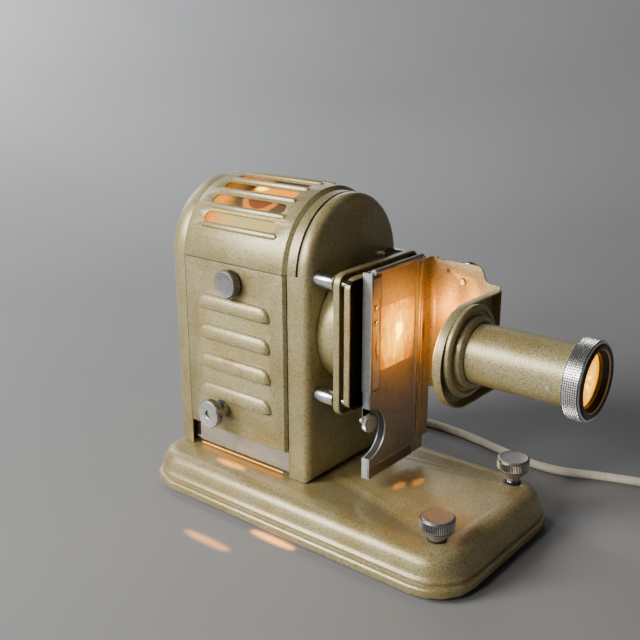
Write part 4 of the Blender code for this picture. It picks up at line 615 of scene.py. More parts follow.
def painted_glow_glass(name, centre, reach, strength, hot):
    """Glass with the lamp's light through it painted on as glow on its faces towards +X: amber, with a white
    hot spot and wavy streaks. Its sizes are in mm.
    """
    sheet = Sheet(name)
    at = sheet.from_centre(centre)
    wave = sheet.noise(10, 3, 0.55, at=sheet.vector("MULTIPLY", at, (1, 1, 0.55)), distortion=2.0)
    fine = sheet.noise(2.2, 3, 0.6, at=at)
    reach *= MM
    spot = 1 - (sheet.away(centre + Vector(hot) * MM, (1, 1, 0.75)) / reach).between(0.02, 0.35)
    middle = 1 - (sheet.away(centre, (0, 1, 0.85)) / reach).between(0.1, 1.15)
    level = middle * 0.62 + wave.between(0.35, 0.7) * 0.28 + fine.between(0.4, 0.7) * 0.08 + spot * spot * 0.5
    stops = (
        (0.0, (0.05, 0.010, 0.0)),
        (0.3, (0.16, 0.046, 0.0002)),
        (0.62, (0.30, 0.126, 0.0005)),
        (0.84, (0.46, 0.22, 0.002)),
        (1.0, (1.0, 0.655, 0.012)),
    )
    glow = sheet.node("ShaderNodeValToRGB", {"stops": stops}, {0: level})
    glow = sheet.mix((0.0, 0.0, 0.0), glow, sheet.ahead().between(0.2, 0.5))
    return sheet.finish(
        Base_Color=(0.10, 0.05, 0.02),
        Roughness=0.12 + wave * 0.1,
        Emission_Color=glow,
        Emission_Strength=strength,
    )


def filament_glow():
    sheet = Sheet("filament")
    glow = sheet.mix((1.0, 0.62, 0.22), (1.0, 0.86, 0.55), sheet.noise(1.5, 2))
    return sheet.finish(Base_Color=(0.2, 0.2, 0.2), Emission_Color=glow, Emission_Strength=30.0)


def sheath():
    """Cream cord sheath with faint ribs, handling grime and a soft gloss."""
    sheet = Sheet("cord_sheath")
    tone = tuple(colours().cord)
    grime = sheet.noise(14, 5, 0.7).between(0.45, 0.72)
    fine = sheet.noise(0.8, 3, 0.6)
    dust = fine.between(0.55, 0.8) * 0.25
    body = sheet.coats(tone, (times(tone, 0.6), grime * 0.5), ((0.85, 0.8, 0.7), dust))
    return sheet.finish(Base_Color=body, Roughness=0.48 + grime * 0.2, Normal=sheet.bump(fine, 0.03, 0.5))


@cache
def finishes():
    """The record's slots and the finishes of single pieces, made once."""
    return {
        "hammer_paint": enamel(),
        "chrome": chrome(),
        "zinc_sheet": zinc(),
        "black_lacquer": moulding("black_lacquer", (0.012, 0.012, 0.012), 0.3, (0.16, 0.15, 0.14), 1.4),
        "rubber": moulding("rubber", (0.03, 0.03, 0.03), 0.62, (0.09, 0.09, 0.09), 0.6),
        "ceramic": moulding("ceramic", (0.72, 0.68, 0.58), 0.28, (0.5, 0.44, 0.34), 2.0),
        "bakelite": moulding("bakelite", (0.055, 0.024, 0.014), 0.3, (0.16, 0.09, 0.06), 2.5),
        "glass": clear_glass("clear_glass", (0.80, 0.88, 0.86), 0.35),
        "mirror": mirror(),
        "brass": brass(),
        "cord": sheath(),
        "chute_sheet": zinc("chute_sheet", (0.66, 0.62, 0.58), 0.6, 0.4, sheet_marks),
        "spring_leaf": zinc("spring_leaf", (0.80, 0.77, 0.70), 0.1, 0.4, leaf_marks),
        "channel_sheet": zinc("channel_sheet", (0.82, 0.86, 0.86), 0.25, 0.15),
        # The front plate's enamel, with shade painted on its face
        "scorched": enamel("scorched_enamel", plate_face()),
        "far_leaf": zinc("far_leaf", (0.62, 0.52, 0.42), 0.3, 0.8, far_marks),
        "tray_sheet": zinc("tray_sheet", (0.80, 0.68, 0.54), 0.35, 0.35),
        "slot_glow": slot_glow(),
        "bezel": black_bezel(),
        # Near-black sheets inside the house that stand in for shade
        "soot": moulding("sooty_sheet", (0.03, 0.026, 0.022), 0.55, (0.09, 0.07, 0.05), 1.4),
    }


# Modelling helpers
def deselect():
    if bpy.context.mode != "OBJECT":
        bpy.ops.object.mode_set(mode="OBJECT")
    bpy.ops.object.select_all(action="DESELECT")


def hold(obj):
    """Only obj is selected and active."""
    deselect()
    obj.select_set(True)
    bpy.context.view_layer.objects.active = obj


def edit(obj):
    hold(obj)
    bpy.ops.object.mode_set(mode="EDIT")
    bpy.ops.mesh.select_all(action="SELECT")


def pick(obj, kind, test):
    """Selects only the verts, edges or faces of obj's edit mesh that pass test."""
    bpy.ops.mesh.select_mode(type={"verts": "VERT", "edges": "EDGE", "faces": "FACE"}[kind])
    bpy.ops.mesh.select_all(action="DESELECT")
    shape = bmesh.from_edit_mesh(obj.data)
    shape.normal_update()
    for item in getattr(shape, kind):
        if test(item):
            item.select_set(True)
    shape.select_flush_mode()
    bmesh.update_edit_mesh(obj.data)


def settle(obj, name):
    """Names a piece and puts its place, turn and scale into its mesh."""
    hold(obj)
    obj.name = obj.data.name = name
    bpy.ops.object.transform_apply(location=True, rotation=True, scale=True)
    return obj


def slab(name, middle, size, turn=(math.pi / 2, 0, 0), primitive=bpy.ops.mesh.primitive_plane_add):
    """A flat sheet, upright and facing -Y unless turned, or another primitive, at its size and place."""
    deselect()
    primitive(size=1, location=middle, rotation=turn)
    bpy.context.object.scale = size
    return settle(bpy.context.object, name)


def apply_modifier(obj, kind, **settings):
    hold(obj)
    modifier = obj.modifiers.new(kind.lower(), kind)
    for key, value in settings.items():
        setattr(modifier, key, value)
    bpy.ops.object.modifier_apply(modifier=modifier.name)


def round_edges(obj, width, segments=2):
    limit = {"limit_method": "ANGLE", "angle_limit": math.radians(32)}
    apply_modifier(obj, "BEVEL", width=width, segments=segments, miter_outer="MITER_ARC", **limit)


def smooth(obj, degrees=32):
    hold(obj)
    bpy.ops.object.shade_smooth_by_angle(angle=math.radians(degrees))


def close_up(doubles=True):
    """Welds the edit mesh and turns its faces outwards."""
    bpy.ops.mesh.select_all(action="SELECT")
    if doubles:
        bpy.ops.mesh.remove_doubles(threshold=WELD)
    bpy.ops.mesh.normals_make_consistent(inside=False)
    bpy.ops.object.mode_set(mode="OBJECT")


def turned(name, stations, centre, axis, steps, ring=False):
    """A round piece: a ring of edges, extruded and scaled through stations of radius and distance in mm."""
    deselect()
    stations = [(radius * MM, along * MM) for radius, along in stations]
    radius, along = stations[0]
    turn = axis.to_track_quat("Z", "Y").to_euler()
    place = centre + axis * along
    bpy.ops.mesh.primitive_circle_add(vertices=steps, radius=radius, location=place, rotation=turn)
    obj = settle(bpy.context.object, name)
    edit(obj)
    if not ring:
        bpy.ops.mesh.edge_face_add()
        bpy.ops.mesh.select_all(action="SELECT")
    extrude = bpy.ops.mesh.extrude_edges_move if ring else bpy.ops.mesh.extrude_region_move
    for (before, low), (after, high) in zip(stations, stations[1:]):
        extrude(TRANSFORM_OT_translate={"value": axis * (high - low)})
        bpy.ops.transform.resize(value=(after / before,) * 3, center_override=centre + axis * high)
    close_up()
    return obj


def knurled(node, stations, centre, axis, radius, span, steps, gain=1.0, share=1.0, ring=False):
    """A turned aluminium knob: every other line of its rim sinks in between span's ends. Sizes are in mm."""
    obj = turned(f"{node}_fine", stations, centre, axis, steps, ring)
    low, high = (end * MM for end in span)
    side = axis.orthogonal().normalized()
    other = axis.cross(side)
    edit(obj)

    def turn(vert):
        away = vert.co - centre
        return math.atan2(away.dot(other), away.dot(side)) / math.tau * steps

    def inside(vert):
        return low < (vert.co - centre).dot(axis) < high

    rim = [vert for vert in bmesh.from_edit_mesh(obj.data).verts if inside(vert)]
    skin = max((away - axis * away.dot(axis)).length for away in (vert.co - centre for vert in rim))
    start = turn(rim[0])
    pick(obj, "verts", lambda vert: inside(vert) and round(turn(vert) - start) % 2 == 1)
    shrink = 1 - sizes().knurl_depth * share / skin
    value = tuple(1 if abs(part) > 0.5 else shrink for part in axis)
    bpy.ops.transform.resize(value=value, center_override=centre)
    smooth(obj, 24)
    dress(obj, node, turned_aluminium(node, axis, radius, gain=gain))


def arc(centre, radius, start, end, steps):
    """Points of an arc as pairs, both ends included; angles in degrees."""
    turns = [math.radians(start + (end - start) * i / steps) for i in range(steps + 1)]
    return [(centre[0] + radius * math.cos(t), centre[1] + radius * math.sin(t)) for t in turns]


def dress(obj, nodes, finish=None):
    """Puts a finished piece on its body, in the place of its CAD nodes."""
    nodes = [nodes] if isinstance(nodes, str) else nodes
    obj.data.materials.clear()
    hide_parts(*nodes)
    return add(obj, nodes[0], finish or finishes()[SLOT_OF[nodes[0]]])


def add(obj, node, finish):
    """Gives a piece its finish; it moves with the node's body."""
    obj.data.materials.append(finish)
    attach(obj, BODY_OF[node])
    return obj


def fine_copy(node, width=None, finish=None, segments=2):
    """A finer piece over a CAD node: triangles merged, flats cleaned and edges rounded by width in mm."""
    deselect()
    obj = bpy.data.objects.new(f"{node}_fine", frame["nodes"][node].data.copy())
    bpy.context.scene.collection.objects.link(obj)
    edit(obj)
    bpy.ops.mesh.remove_doubles(threshold=WELD)
    bpy.ops.mesh.dissolve_limited(angle_limit=math.radians(0.6))
    bpy.ops.object.mode_set(mode="OBJECT")
    if "custom_normal" in obj.data.attributes:
        obj.data.attributes.remove(obj.data.attributes["custom_normal"])
    width = sizes().edge_round if width is None else width * MM
    if width:
        round_edges(obj, width, segments)
    smooth(obj)
    return dress(obj, node, finish and finishes()[finish])


def keep(node):
    """A CAD node that stays as it is, with its finish."""
    for slot in frame["nodes"][node].material_slots:
        slot.material = finishes()[SLOT_OF[node]]


class Piece:
    """What every operator here shares."""

    bl_options = {"REGISTER", "UNDO"}

    def execute(self, context):
        self.make()
        return {"FINISHED"}


# Camera, floor and light
class PROJECTOR_OT_stage(Piece, bpy.types.Operator):
    """Adds the camera, the pale floor and the lights"""

    bl_idname = "projector.stage"
    bl_label = "Stage"

    def make(self):
        self.camera()
        self.floor()
        self.lights()
        self.lamp_lights(tuple(colours().glow), colours().glow_power)

    def camera(self):
        deselect()
        azimuth, elevation, roll = (math.radians(value) for value in (39.256, 18.111, -0.128))
        level = math.cos(elevation)
        back = Vector((math.sin(azimuth) * level, -math.cos(azimuth) * level, math.sin(elevation)))
        right = Vector((math.cos(azimuth), math.sin(azimuth), 0))
        turn = Matrix((right, back.cross(right), back)).transposed() @ Matrix.Rotation(roll, 3, "Z")
        bpy.ops.object.camera_add(location=(0.3855, -0.5292, 0.3689), rotation=turn.to_euler())
        camera = bpy.context.object
        camera.name = "camera"
        camera.data.sensor_width = 36
        camera.data.lens = 53.0
        camera.data.clip_start = 0.01
        bpy.context.scene.camera = camera

    def floor(self):
        """A wide dish, so that its rim is the backdrop from every side."""
        rim = [(200, 0), (1000, 0)] + arc((1000, 1600), 1600, -85, -10, 15)
        dish = turned("floor", rim, Vector((0.02, 0.02, 0)), Z_AXIS, 96)
        edit(dish)
        pick(dish, "faces", lambda face: face.calc_center_median().z > 1.25 and abs(face.normal.z) > 0.99)
        bpy.ops.mesh.delete(type="FACE")
        smooth(dish, 60)
        sheet = Sheet("floor")
        tone = tuple(colours().floor)
        body = sheet.mix(times(tone, 0.94), tone, sheet.noise(500, 3).between(0.3, 0.7))
        grain = sheet.bump(sheet.noise(1.2, 3), 0.05, 0.3)
        dish.data.materials.append(sheet.finish(Base_Color=body, Roughness=0.55, Normal=grain))

    def lights(self):
        world = bpy.data.worlds.new("room")
        world.use_nodes = True
        background = world.node_tree.nodes["Background"].inputs
        background["Color"].default_value = (0.66, 0.64, 0.61, 1)
        background["Strength"].default_value = 0.048
        bpy.context.scene.world = world
        white, cool = (1.0, 0.985, 0.95), (0.95, 0.97, 1.0)
        middle = Vector((0, 0, 0.1))
        for name, place, target, size, share, tint in (
            ("key_light", (-0.78, -1.12, 0.84), middle, 0.75, 0.88, white),
            ("side_light", (-0.12, -1.5, 0.85), middle, 0.4, 0.32, white),
            ("rear_light", (-0.9, 1.1, 0.8), middle, 0.7, 0.05, cool),
            ("wall_light", (-1.9, 0.3, 1.1), Vector((-1.7, 1.7, 0.6)), 1.0, 1.4, cool),
        ):
            self.soft_light(name, place, target, size, colours().key_power * share, tint)

    def soft_light(self, name, place, target, size, power, tint, spread=180):
        deselect()
        aim = (Vector(place) - target).to_track_quat("Z", "Y").to_euler()
        bpy.ops.object.light_add(type="AREA", location=place, rotation=aim)
        light = bpy.context.object
        light.name = name
        light.data.shape = "DISK"
        light.data.size = size
        light.data.energy = power
        light.data.color = tint
        light.data.spread = math.radians(spread)
        return light

    def lamp_lights(self, glow, power):
        """The lamp, and its light in the gate, off the lens plate, under the tray and through the vents."""
        deselect()
        bpy.ops.object.light_add(type="POINT", location=LAMP + Vector((0, 0, 0.008)))
        lamp = bpy.context.object
        lamp.name = "lamp_light"
        lamp.data.energy = power
        lamp.data.color = glow
        lamp.data.shadow_soft_size = 7 * MM
        lamp.visible_camera = False
        gate = Vector((FRONT_FACE + 1.1 * MM, AXIS_Y, AXIS_Z))
        ahead = gate + Vector((0.038, 0, 0.022))
        for name, place, target, size, share, spread in (
            ("gate_light", gate, gate + X_AXIS, 30, 0.10, 100),
            ("arm_light", gate, gate + Vector((0.5, 0.85, 0.1)), 26, 0.075, 130),
            ("bounce_light", ahead, gate + Z_AXIS * 12 * MM, 30, 0.045, 96),
        ):
            light = self.soft_light(name, place, target, size * MM, power * share, glow, spread)
            light.visible_camera = False
        tray, tray_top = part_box("floor_tray")
        slit = ((tray.x + tray_top.x) / 2, tray.y + 0.6 * MM, 32.9 * MM)
        for name, place, heading, wide, deep, share, spread in (
            ("tray_light", slit, -Y_AXIS - Z_AXIS * 0.3, 88, 1.7, 0.0014, 180),
            ("base_light", (-0.093, -0.0550, 0.0335), -Z_AXIS, 30, 6, 0.0036, 130),
            ("floor_light_left", (-0.064, -0.1115, 0.004), -Z_AXIS, 46, 6, 0.0042, 110),
            ("floor_light_right", (-0.027, -0.0805, 0.0032), -Z_AXIS, 42, 6, 0.0085, 110),
            ("shelf_light_near", (0.030, -0.001, 0.034), -Z_AXIS, 6, 14, 0.0004, 110),
            ("shelf_light_far", (0.038, 0.013, 0.034), -Z_AXIS, 6, 14, 0.0004, 110),
        ):
            light = self.soft_light(name, place, Vector(place) + heading, MM, power * share, glow, spread)
            light.visible_camera = name == "tray_light"
            light.data.shape = "RECTANGLE" if name == "tray_light" else "ELLIPSE"
            light.data.size, light.data.size_y = wide * MM, deep * MM


# Mains cord
def ease(share):
    """0 to 1 with soft ends."""
    return share * share * (3 - 2 * share)


def smooth_route(points, step):
    """Evenly spaced points of a smooth curve through points."""
    guided = [2 * points[0] - points[1]] + points + [2 * points[-1] - points[-2]]
    fine = []
    for a, b, c, d in zip(guided, guided[1:], guided[2:], guided[3:]):
        for i in range(24):
            t = i / 24
            pull = (c - a) * t + (2 * a - 5 * b + 4 * c - d) * t**2 + (3 * b - a - 3 * c + d) * t**3
            fine.append(b + pull / 2)
    return spaced(fine + [points[-1]], step)


def spaced(fine, step):
    """Points about step apart along a fine line."""
    run = [0.0]
    for a, b in zip(fine, fine[1:]):
        run.append(run[-1] + (b - a).length)
    last = max(2, round(run[-1] / step) + 1) - 1
    found, k = [], 0
    for i in range(last + 1):
        goal = run[-1] * i / last
        while k < len(run) - 2 and run[k + 1] < goal:
            k += 1
        found.append(fine[k].lerp(fine[k + 1], (goal - run[k]) / (run[k + 1] - run[k])))
    return found


def around(turn):
    """The level direction at a turn of the coil."""
    return Vector((math.cos(turn), math.sin(turn), 0))


def tail_heading():
    return around(COIL_START + COIL_TURNS * math.tau + math.pi / 2)


def coil_points():
    """Two layers: in over the floor, up through half a turn, and out again on top, then on to the plug."""
    low = CORD_RADIUS + CORD_LIFT
    total = COIL_TURNS * math.tau
    steps = round(COIL_TURNS * COIL_STEPS)
    points = []
    for i in range(steps + 1):
        angle = total * i / steps
        inward = (total / 2 - abs(angle - total / 2)) / math.tau
        climb = ease(min(max((angle - total / 2) / math.pi + 0.5, 0), 1))
        out = around(COIL_START + angle) * (COIL_RADIUS - COIL_PITCH * inward)
        points.append(COIL_CENTRE + out + Z_AXIS * (low + COIL_PITCH * climb))
    end = points[-1]
    rise = PLUG_RADIUS + CORD_LIFT - end.z
    for i in range(1, COIL_TAIL_STEPS + 1):
        lift = rise * ease(min(i / (COIL_TAIL_STEPS - 1), 1))
        points.append(end + tail_heading() * (COIL_TAIL * i / COIL_TAIL_STEPS) + Z_AXIS * lift)
    return points


def whole_route():
    coil = coil_points()
    back = (coil[0] - coil[1]).normalized()
    entry = coil[0] + back * CORD_GAP
    route = [Vector(point) * MM for point in CORD_ROUTE_MM]
    return smooth_route([CORD_EXIT, *route, entry + back * COIL_APPROACH, entry], 8 * MM) + coil


def tube(name, points, radius, shares=None, rings=5):
    """A round curve through points; shares scale its radius along it."""
    data = bpy.data.curves.new(name, "CURVE")
    data.dimensions = "3D"
    data.bevel_depth = radius
    data.bevel_resolution = rings
    data.use_fill_caps = True
    spline = data.splines.new("POLY")
    spline.points.add(len(points) - 1)
    for target, point, share in zip(spline.points, points, shares or [1] * len(points)):
        target.co = (*point, 1)
        target.radius = share
    spline.use_smooth = True
    obj = bpy.data.objects.new(name, data)
    bpy.context.scene.collection.objects.link(obj)
    return obj


def meshed(curve, name):
    hold(curve)
    bpy.ops.object.convert(target="MESH")
    return settle(bpy.context.object, name)


class PROJECTOR_OT_cord(Piece, bpy.types.Operator):
    """Adds the mains cord, its strain relief, its tie and its plug"""

    bl_idname = "projector.cord"
    bl_label = "Mains cord"

    def make(self):
        route = whole_route()
        cord = dress(tube("mains_cord", route, CORD_RADIUS), ["cord_lead", "cord_coil"])
        extras = [self.relief(route), self.plug(), self.tie()]
        extras += [fine_copy(f"plug_pin_{side}", 0.8, segments=4) for side in ("left", "right")]
        sum((b - a).length for a, b in zip(route, route[1:]))

    def relief(self, route):
        """A ribbed rubber sleeve that tapers along the cord's first bend."""
        start = Vector((CORD_EXIT.x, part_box("strain_relief")[0].y, CORD_EXIT.z))
        step = 1.1 * MM
        line = spaced([start] + route[:5], step)[: round(40 * MM / step)]
        shares = []
        for i in range(len(line)):
            t = i / (len(line) - 1)
            groove = 0.45 if t > 0.4 and i % 3 == 0 and i < len(line) - 1 else 0
            shares.append((6.0 - 1.6 * max(0, (t - 0.3) / 0.7) - groove) / 6.0)
        sleeve = meshed(tube("cord_sleeve", line, 6.0 * MM, shares), "cord_sleeve")
        smooth(sleeve, 50)
        return dress(sleeve, "strain_relief")

    def plug(self):
        """A round two-pin plug: a collar for the cord, a waist for the fingers and a broad face."""
        heading = tail_heading()
        outline = [
            (4.6, 0), (5.8, 0.5), (6.1, 2), (5.6, 3), (6.2, 4), (5.7, 5), (6.3, 6), (6.0, 8), (6.4, 12),
            (8.2, 16), (11.6, 19.5), (13.6, 22), (14.7, 24.5), (15.0, 27), (14.4, 28.2), (14.4, 29.4),
            (15.0, 30.6), (15.0, 37.6), (14.6, 39.2), (13.4, 40.0), (9.0, 40.0), (8.6, 39.6),
        ]
        body = turned("plug_moulding", outline, coil_points()[-1] + heading * CORD_GAP, heading, 48)
        smooth(body)
        return dress(body, "plug_body")

    def tie(self):
        """A flat band round the coil's turns."""
        turn = COIL_START + math.radians(150)
        inner = COIL_RADIUS - COIL_PITCH * COIL_TURNS / 2 - CORD_RADIUS - 0.6 * MM
        outer = COIL_RADIUS + CORD_RADIUS + 0.4 * MM
        top = 2 * CORD_RADIUS + COIL_PITCH + CORD_LIFT + 0.6 * MM
        middle = COIL_CENTRE + around(turn) * ((inner + outer) / 2) + Z_AXIS * (top / 2)
        size = (outer - inner, 7 * MM, top)
        band = slab("cord_tie", middle, size, (0, 0, turn), bpy.ops.mesh.primitive_cube_add)
        along = around(turn + math.pi / 2)

        def lengthwise(edge):
            return abs((edge.verts[0].co - edge.verts[1].co).normalized().dot(along)) > 0.9

        edit(band)
        pick(band, "edges", lengthwise)
        bpy.ops.mesh.bevel(offset=4 * MM, segments=6)
        pick(band, "faces", lambda face: abs(face.normal.dot(along)) > 0.9)
        bpy.ops.mesh.delete(type="FACE")
        apply_modifier(band, "SOLIDIFY", thickness=0.09 * MM, offset=-1)
        smooth(band)
        return add(band, "cord_coil", finishes()["rubber"])


# Base and its screws
class PROJECTOR_OT_base(Piece, bpy.types.Operator):
    """Adds the pressed base, its bottom plate, feet and terminal block"""

    bl_idname = "projector.base"
    bl_label = "Base"

    def make(self):
        fine_copy("base_shell", 0.25)
        fine_copy("bottom_plate", 0.2)
        for side in ("near", "far"):
            fine_copy(f"rear_foot_{side}", 1.2, segments=4)
        fine_copy("terminal_block", 0.8)


class PROJECTOR_OT_levelling_screws(Piece, bpy.types.Operator):
    """Adds the two levelling screws with their knurled heads and threaded bushes"""

    bl_idname = "projector.levelling_screws"
    bl_label = "Levelling screws"

    def make(self):
        for side in ("near", "far"):
            self.knob(f"levelling_knob_{side}")
            self.spindle(f"screw_spindle_{side}")
            fine_copy(f"screw_bush_{side}", 0.2)

    def knob(self, node):
        """A cup on a boss with a straight knurl, a bright rim and a faintly dished face."""
        radius, foot, tall = round_node(node, Z_AXIS)
        profile = [
            (0.34, 0.0), (0.505, 0.0), (0.52, 0.012), (0.525, 0.05), (0.545, 0.09), (0.60, 0.14),
            (0.68, 0.187), (0.76, 0.25), (0.84, 0.315), (0.925, 0.40), (0.965, 0.455), (0.985, 0.50),
            (0.985, 0.515), (1.0, 0.53), (1.0, 0.60), (1.0, 0.67), (1.0, 0.74), (1.0, 0.80),
            (1.0, 0.855), (0.985, 0.87), (0.985, 0.885), (0.998, 0.90), (0.995, 0.925), (0.96, 0.955),
            (0.91, 0.982), (0.872, 0.996), (0.858, 1.0), (0.84, 0.994), (0.5, 0.985), (0.1, 0.977),
            (0.012, 0.976),
        ]
        stations = [(radius * r, tall * a) for r, a in profile]
        span = (0.525 * tall, 0.857 * tall)
        # A darker copy of the aluminium: painted shade
        knurled(node, stations, foot, Z_AXIS, radius, span, 2 * sizes().knurl_teeth, gain=0.72)

    def spindle(self, node):
        """The screw under its head, with a thread and a round foot pad."""
        _, foot, tall = round_node(node, Z_AXIS)
        pad = [(5.2, 0), (6.5, 0.3), (7.0, 0.9), (7.0, 3.2), (6.6, 3.8), (5.6, 4.0)]
        stations = pad + [(3.2, 4.0), (3.2, 5.0)]
        at, pitch, root, crest = 5.4, 1.5, 3.25, 3.88
        while at + pitch < tall - 1:
            stations += [(root, at), (crest, at + pitch * 0.4)]
            stations += [(crest, at + pitch * 0.55), (root, at + pitch * 0.95)]
            at += pitch
        obj = turned(f"{node}_fine", stations + [(3.6, at + 0.3), (3.6, tall)], foot, Z_AXIS, 36)
        smooth(obj, 28)
        dress(obj, node)


# Lamp house
class PROJECTOR_OT_lamp_house(Piece, bpy.types.Operator):
    """Adds the lamp house's caps, cover, far panel, door and floor tray, and their hidden sheets"""

    bl_idname = "projector.lamp_house"
    bl_label = "Lamp house"

    def make(self):
        for node in ("front_cap", "rear_cap", "far_panel", "top_cover", "side_door"):
            fine_copy(node)
        fine_copy("floor_tray", 0.2, "tray_sheet")
        self.joint_hoop()
        self.door_screen()
        self.slot_lining()
        self.notch_screen()

    def arch(self, name, radius, start, end, foot, steps):
        """A sheet arch about the house's spring line, from start to end along X and down to foot."""
        low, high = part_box("top_cover")
        spring = Vector((0, (low.y + high.y) / 2, SPRING_Z))
        stations = [(radius / MM, (start + (end - start) * i / steps) / MM) for i in range(steps + 1)]
        obj = turned(name, stations, spring, X_AXIS, 96, ring=True)
        edit(obj)
        pick(obj, "faces", lambda face: face.calc_center_median().z < max(SPRING_Z, foot))
        bpy.ops.mesh.delete(type="FACE")
        if foot < SPRING_Z:

            def at_foot(edge):
                return edge.is_boundary and all(vert.co.z < SPRING_Z + MM for vert in edge.verts)

            pick(obj, "edges", at_foot)
            bpy.ops.mesh.extrude_edges_move(TRANSFORM_OT_translate={"value": (0, 0, foot - SPRING_Z)})
        return obj

    def joint_hoop(self):
        """A dark hoop behind the front cap's joint with the cover and the door, which keeps the light in; its
        black stands in for the shade in the joint.
        """
        low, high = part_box("front_cap")
        radius = (high.y - low.y) / 2 - 1.6 * MM
        hoop = self.arch("joint_hoop", radius, high.x - 26 * MM, high.x - 3 * MM, low.z + 6 * MM, 6)
        self.lining(hoop, "front_cap", "soot", 0.5)

    def door_screen(self):
        """A black sheet behind the louvres, standing in for the shade inside them."""
        low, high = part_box("side_door")
        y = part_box("floor_tray")[0].y + 2.1 * MM
        left, right, foot, top = low.x + 0.4 * MM, high.x - 7.0 * MM, low.z + 6 * MM, high.z - 5 * MM
        sheet = slab("door_screen", ((left + right) / 2, y, (foot + top) / 2), (right - left, top - foot, 1))
        self.lining(sheet, "side_door", "soot", 0.4)

    def slot_lining(self):
        """A lining under the cover's slots, with the lamp's light and shade painted on it."""
        low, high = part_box("top_cover")
        radius = (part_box("rear_cap")[1].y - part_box("rear_cap")[0].y) / 2 - 3.6 * MM
        sheet = self.arch("slot_lining", radius, low.x + 9 * MM, high.x - 11 * MM, SPRING_Z + 8 * MM, 14)
        self.lining(sheet, "top_cover", "slot_glow", 0.5)

    def notch_screen(self):
        """A black sheet behind the tray's open corner, standing in for the shade there."""
        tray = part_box("floor_tray")[0]
        place = (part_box("side_door")[0].x - 1 * MM, tray.y + 3.4 * MM, tray.z + 9 * MM)
        self.lining(slab("notch_screen", place, (14 * MM, 25 * MM, 1)), "rear_cap", "soot", 0.4)

    def lining(self, obj, node, finish, thickness):
        """Gives a hidden sheet its thickness in mm and its finish; it moves with the node's body."""
        apply_modifier(obj, "SOLIDIFY", thickness=thickness * MM, offset=0)
        edit(obj)
        close_up(doubles=False)
        smooth(obj)
        add(obj, node, finishes()[finish])


class PROJECTOR_OT_door_knobs(Piece, bpy.types.Operator):
    """Adds the latch knob and the lamp adjuster with its collar and spindle"""

    bl_idname = "projector.door_knobs"
    bl_label = "Door knobs"

    def make(self):
        self.knob("latch_knob", 0.0)
        self.knob("adjuster_knob", round_node("adjuster_spindle", Y_AXIS)[0])
        fine_copy("adjuster_collar", 0.3, "zinc_sheet")
        fine_copy("adjuster_spindle", 0.5)

    def knob(self, node, bore):
        """A flat disc with a straight knurl; its stem or bore stays as the CAD has it."""
        radius, face, deep = round_node(node, Y_AXIS)
        thick = 7.2
        back = face + Y_AXIS * (thick * MM)
        if bore:
            bore += 0.3
            start = [(bore, 0), (radius * 0.80, 0), (radius * 0.93, 0.3), (radius, 1.0)]
            end = [(bore + 0.5, thick - 0.25), (bore, thick - 0.6), (bore, 0)]
        else:
            stem = deep - thick
            start = [(3.6, -stem), (4.0, 0.4 - stem), (4.0, -0.01), (radius * 0.82, 0)]
            start += [(radius * 0.94, 0.3), (radius, 1.0)]
            end = [(radius * 0.5, thick - 0.2), (0.15, thick - 0.28)]
        rim = [(radius, thick * i / 8) for i in range(2, 7)]
        lip = ((0, 0.95), (0.25, 0.7), (0.3, 0.5), (0.75, 0.08), (1.0, 0), (1.4, 0.12))
        rim += [(radius - inset, thick - drop) for inset, drop in lip]
        steps = 2 * round(sizes().knurl_teeth * 0.9)
        # Darker copies of the aluminium, the latch knob's much darker: painted shade
        gain = 0.85 if bore else 0.42
        span = (1.2, thick - 0.98)
        knurled(node, start + rim + end, back, -Y_AXIS, radius, span, steps, gain, ring=bool(bore))


class PROJECTOR_OT_lamp(Piece, bpy.types.Operator):
    """Adds the lamp with its filament, its socket, carriage and mirror"""

    bl_idname = "projector.lamp"
    bl_label = "Lamp"

    def make(self):
        self.bulb()
        self.filament()
        fine_copy("lamp_socket", 1.2)
        fine_copy("lamp_carriage", 0.2)
        fine_copy("lamp_reflector", 0.15)
        keep("reflector_stud")

    def bulb(self):
        radius, foot, tall = round_node("lamp_bulb", Z_AXIS)
        profile = [
            (0.56, 0.0), (0.58, 0.02), (0.60, 0.08), (0.66, 0.12), (0.80, 0.17), (0.91, 0.22), (0.97, 0.28),
            (1.0, 0.36), (1.0, 0.5), (1.0, 0.65), (1.0, 0.79), (0.985, 0.84), (0.94, 0.89), (0.84, 0.935),
            (0.69, 0.965), (0.5, 0.985), (0.28, 0.995), (0.1, 1.0), (0.01, 1.0),
        ]
        obj = turned("lamp_bulb_fine", [(radius * r, tall * a) for r, a in profile], foot, Z_AXIS, 48)
        smooth(obj, 60)
        dress(obj, "lamp_bulb", clear_glass("bulb_glass", (1.0, 0.80, 0.55), 0.22))

    def filament(self):
        """Four upright coils on a flat grid, facing the condenser."""
        spots, turns, wide, coil = [], 60, 3.025 * MM, 0.9 * MM
        for i in range(turns * 8 + 1):
            t = i / (turns * 8)
            column = min(int(t * 4), 3)
            share = t * 4 - column
            up = share if column % 2 == 0 else 1 - share
            turn = math.tau * turns * t
            y = (column - 1.5) * wide + coil * math.sin(turn)
            spots.append(LAMP + Vector((coil * math.cos(turn), y, (up - 0.5) * 12 * MM + 8 * MM)))
        wire = meshed(tube("lamp_filament", spots, 0.28 * MM, rings=1), "lamp_filament")
        wire.data.materials.append(filament_glow())
        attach(wire, BODY_OF["lamp_bulb"])


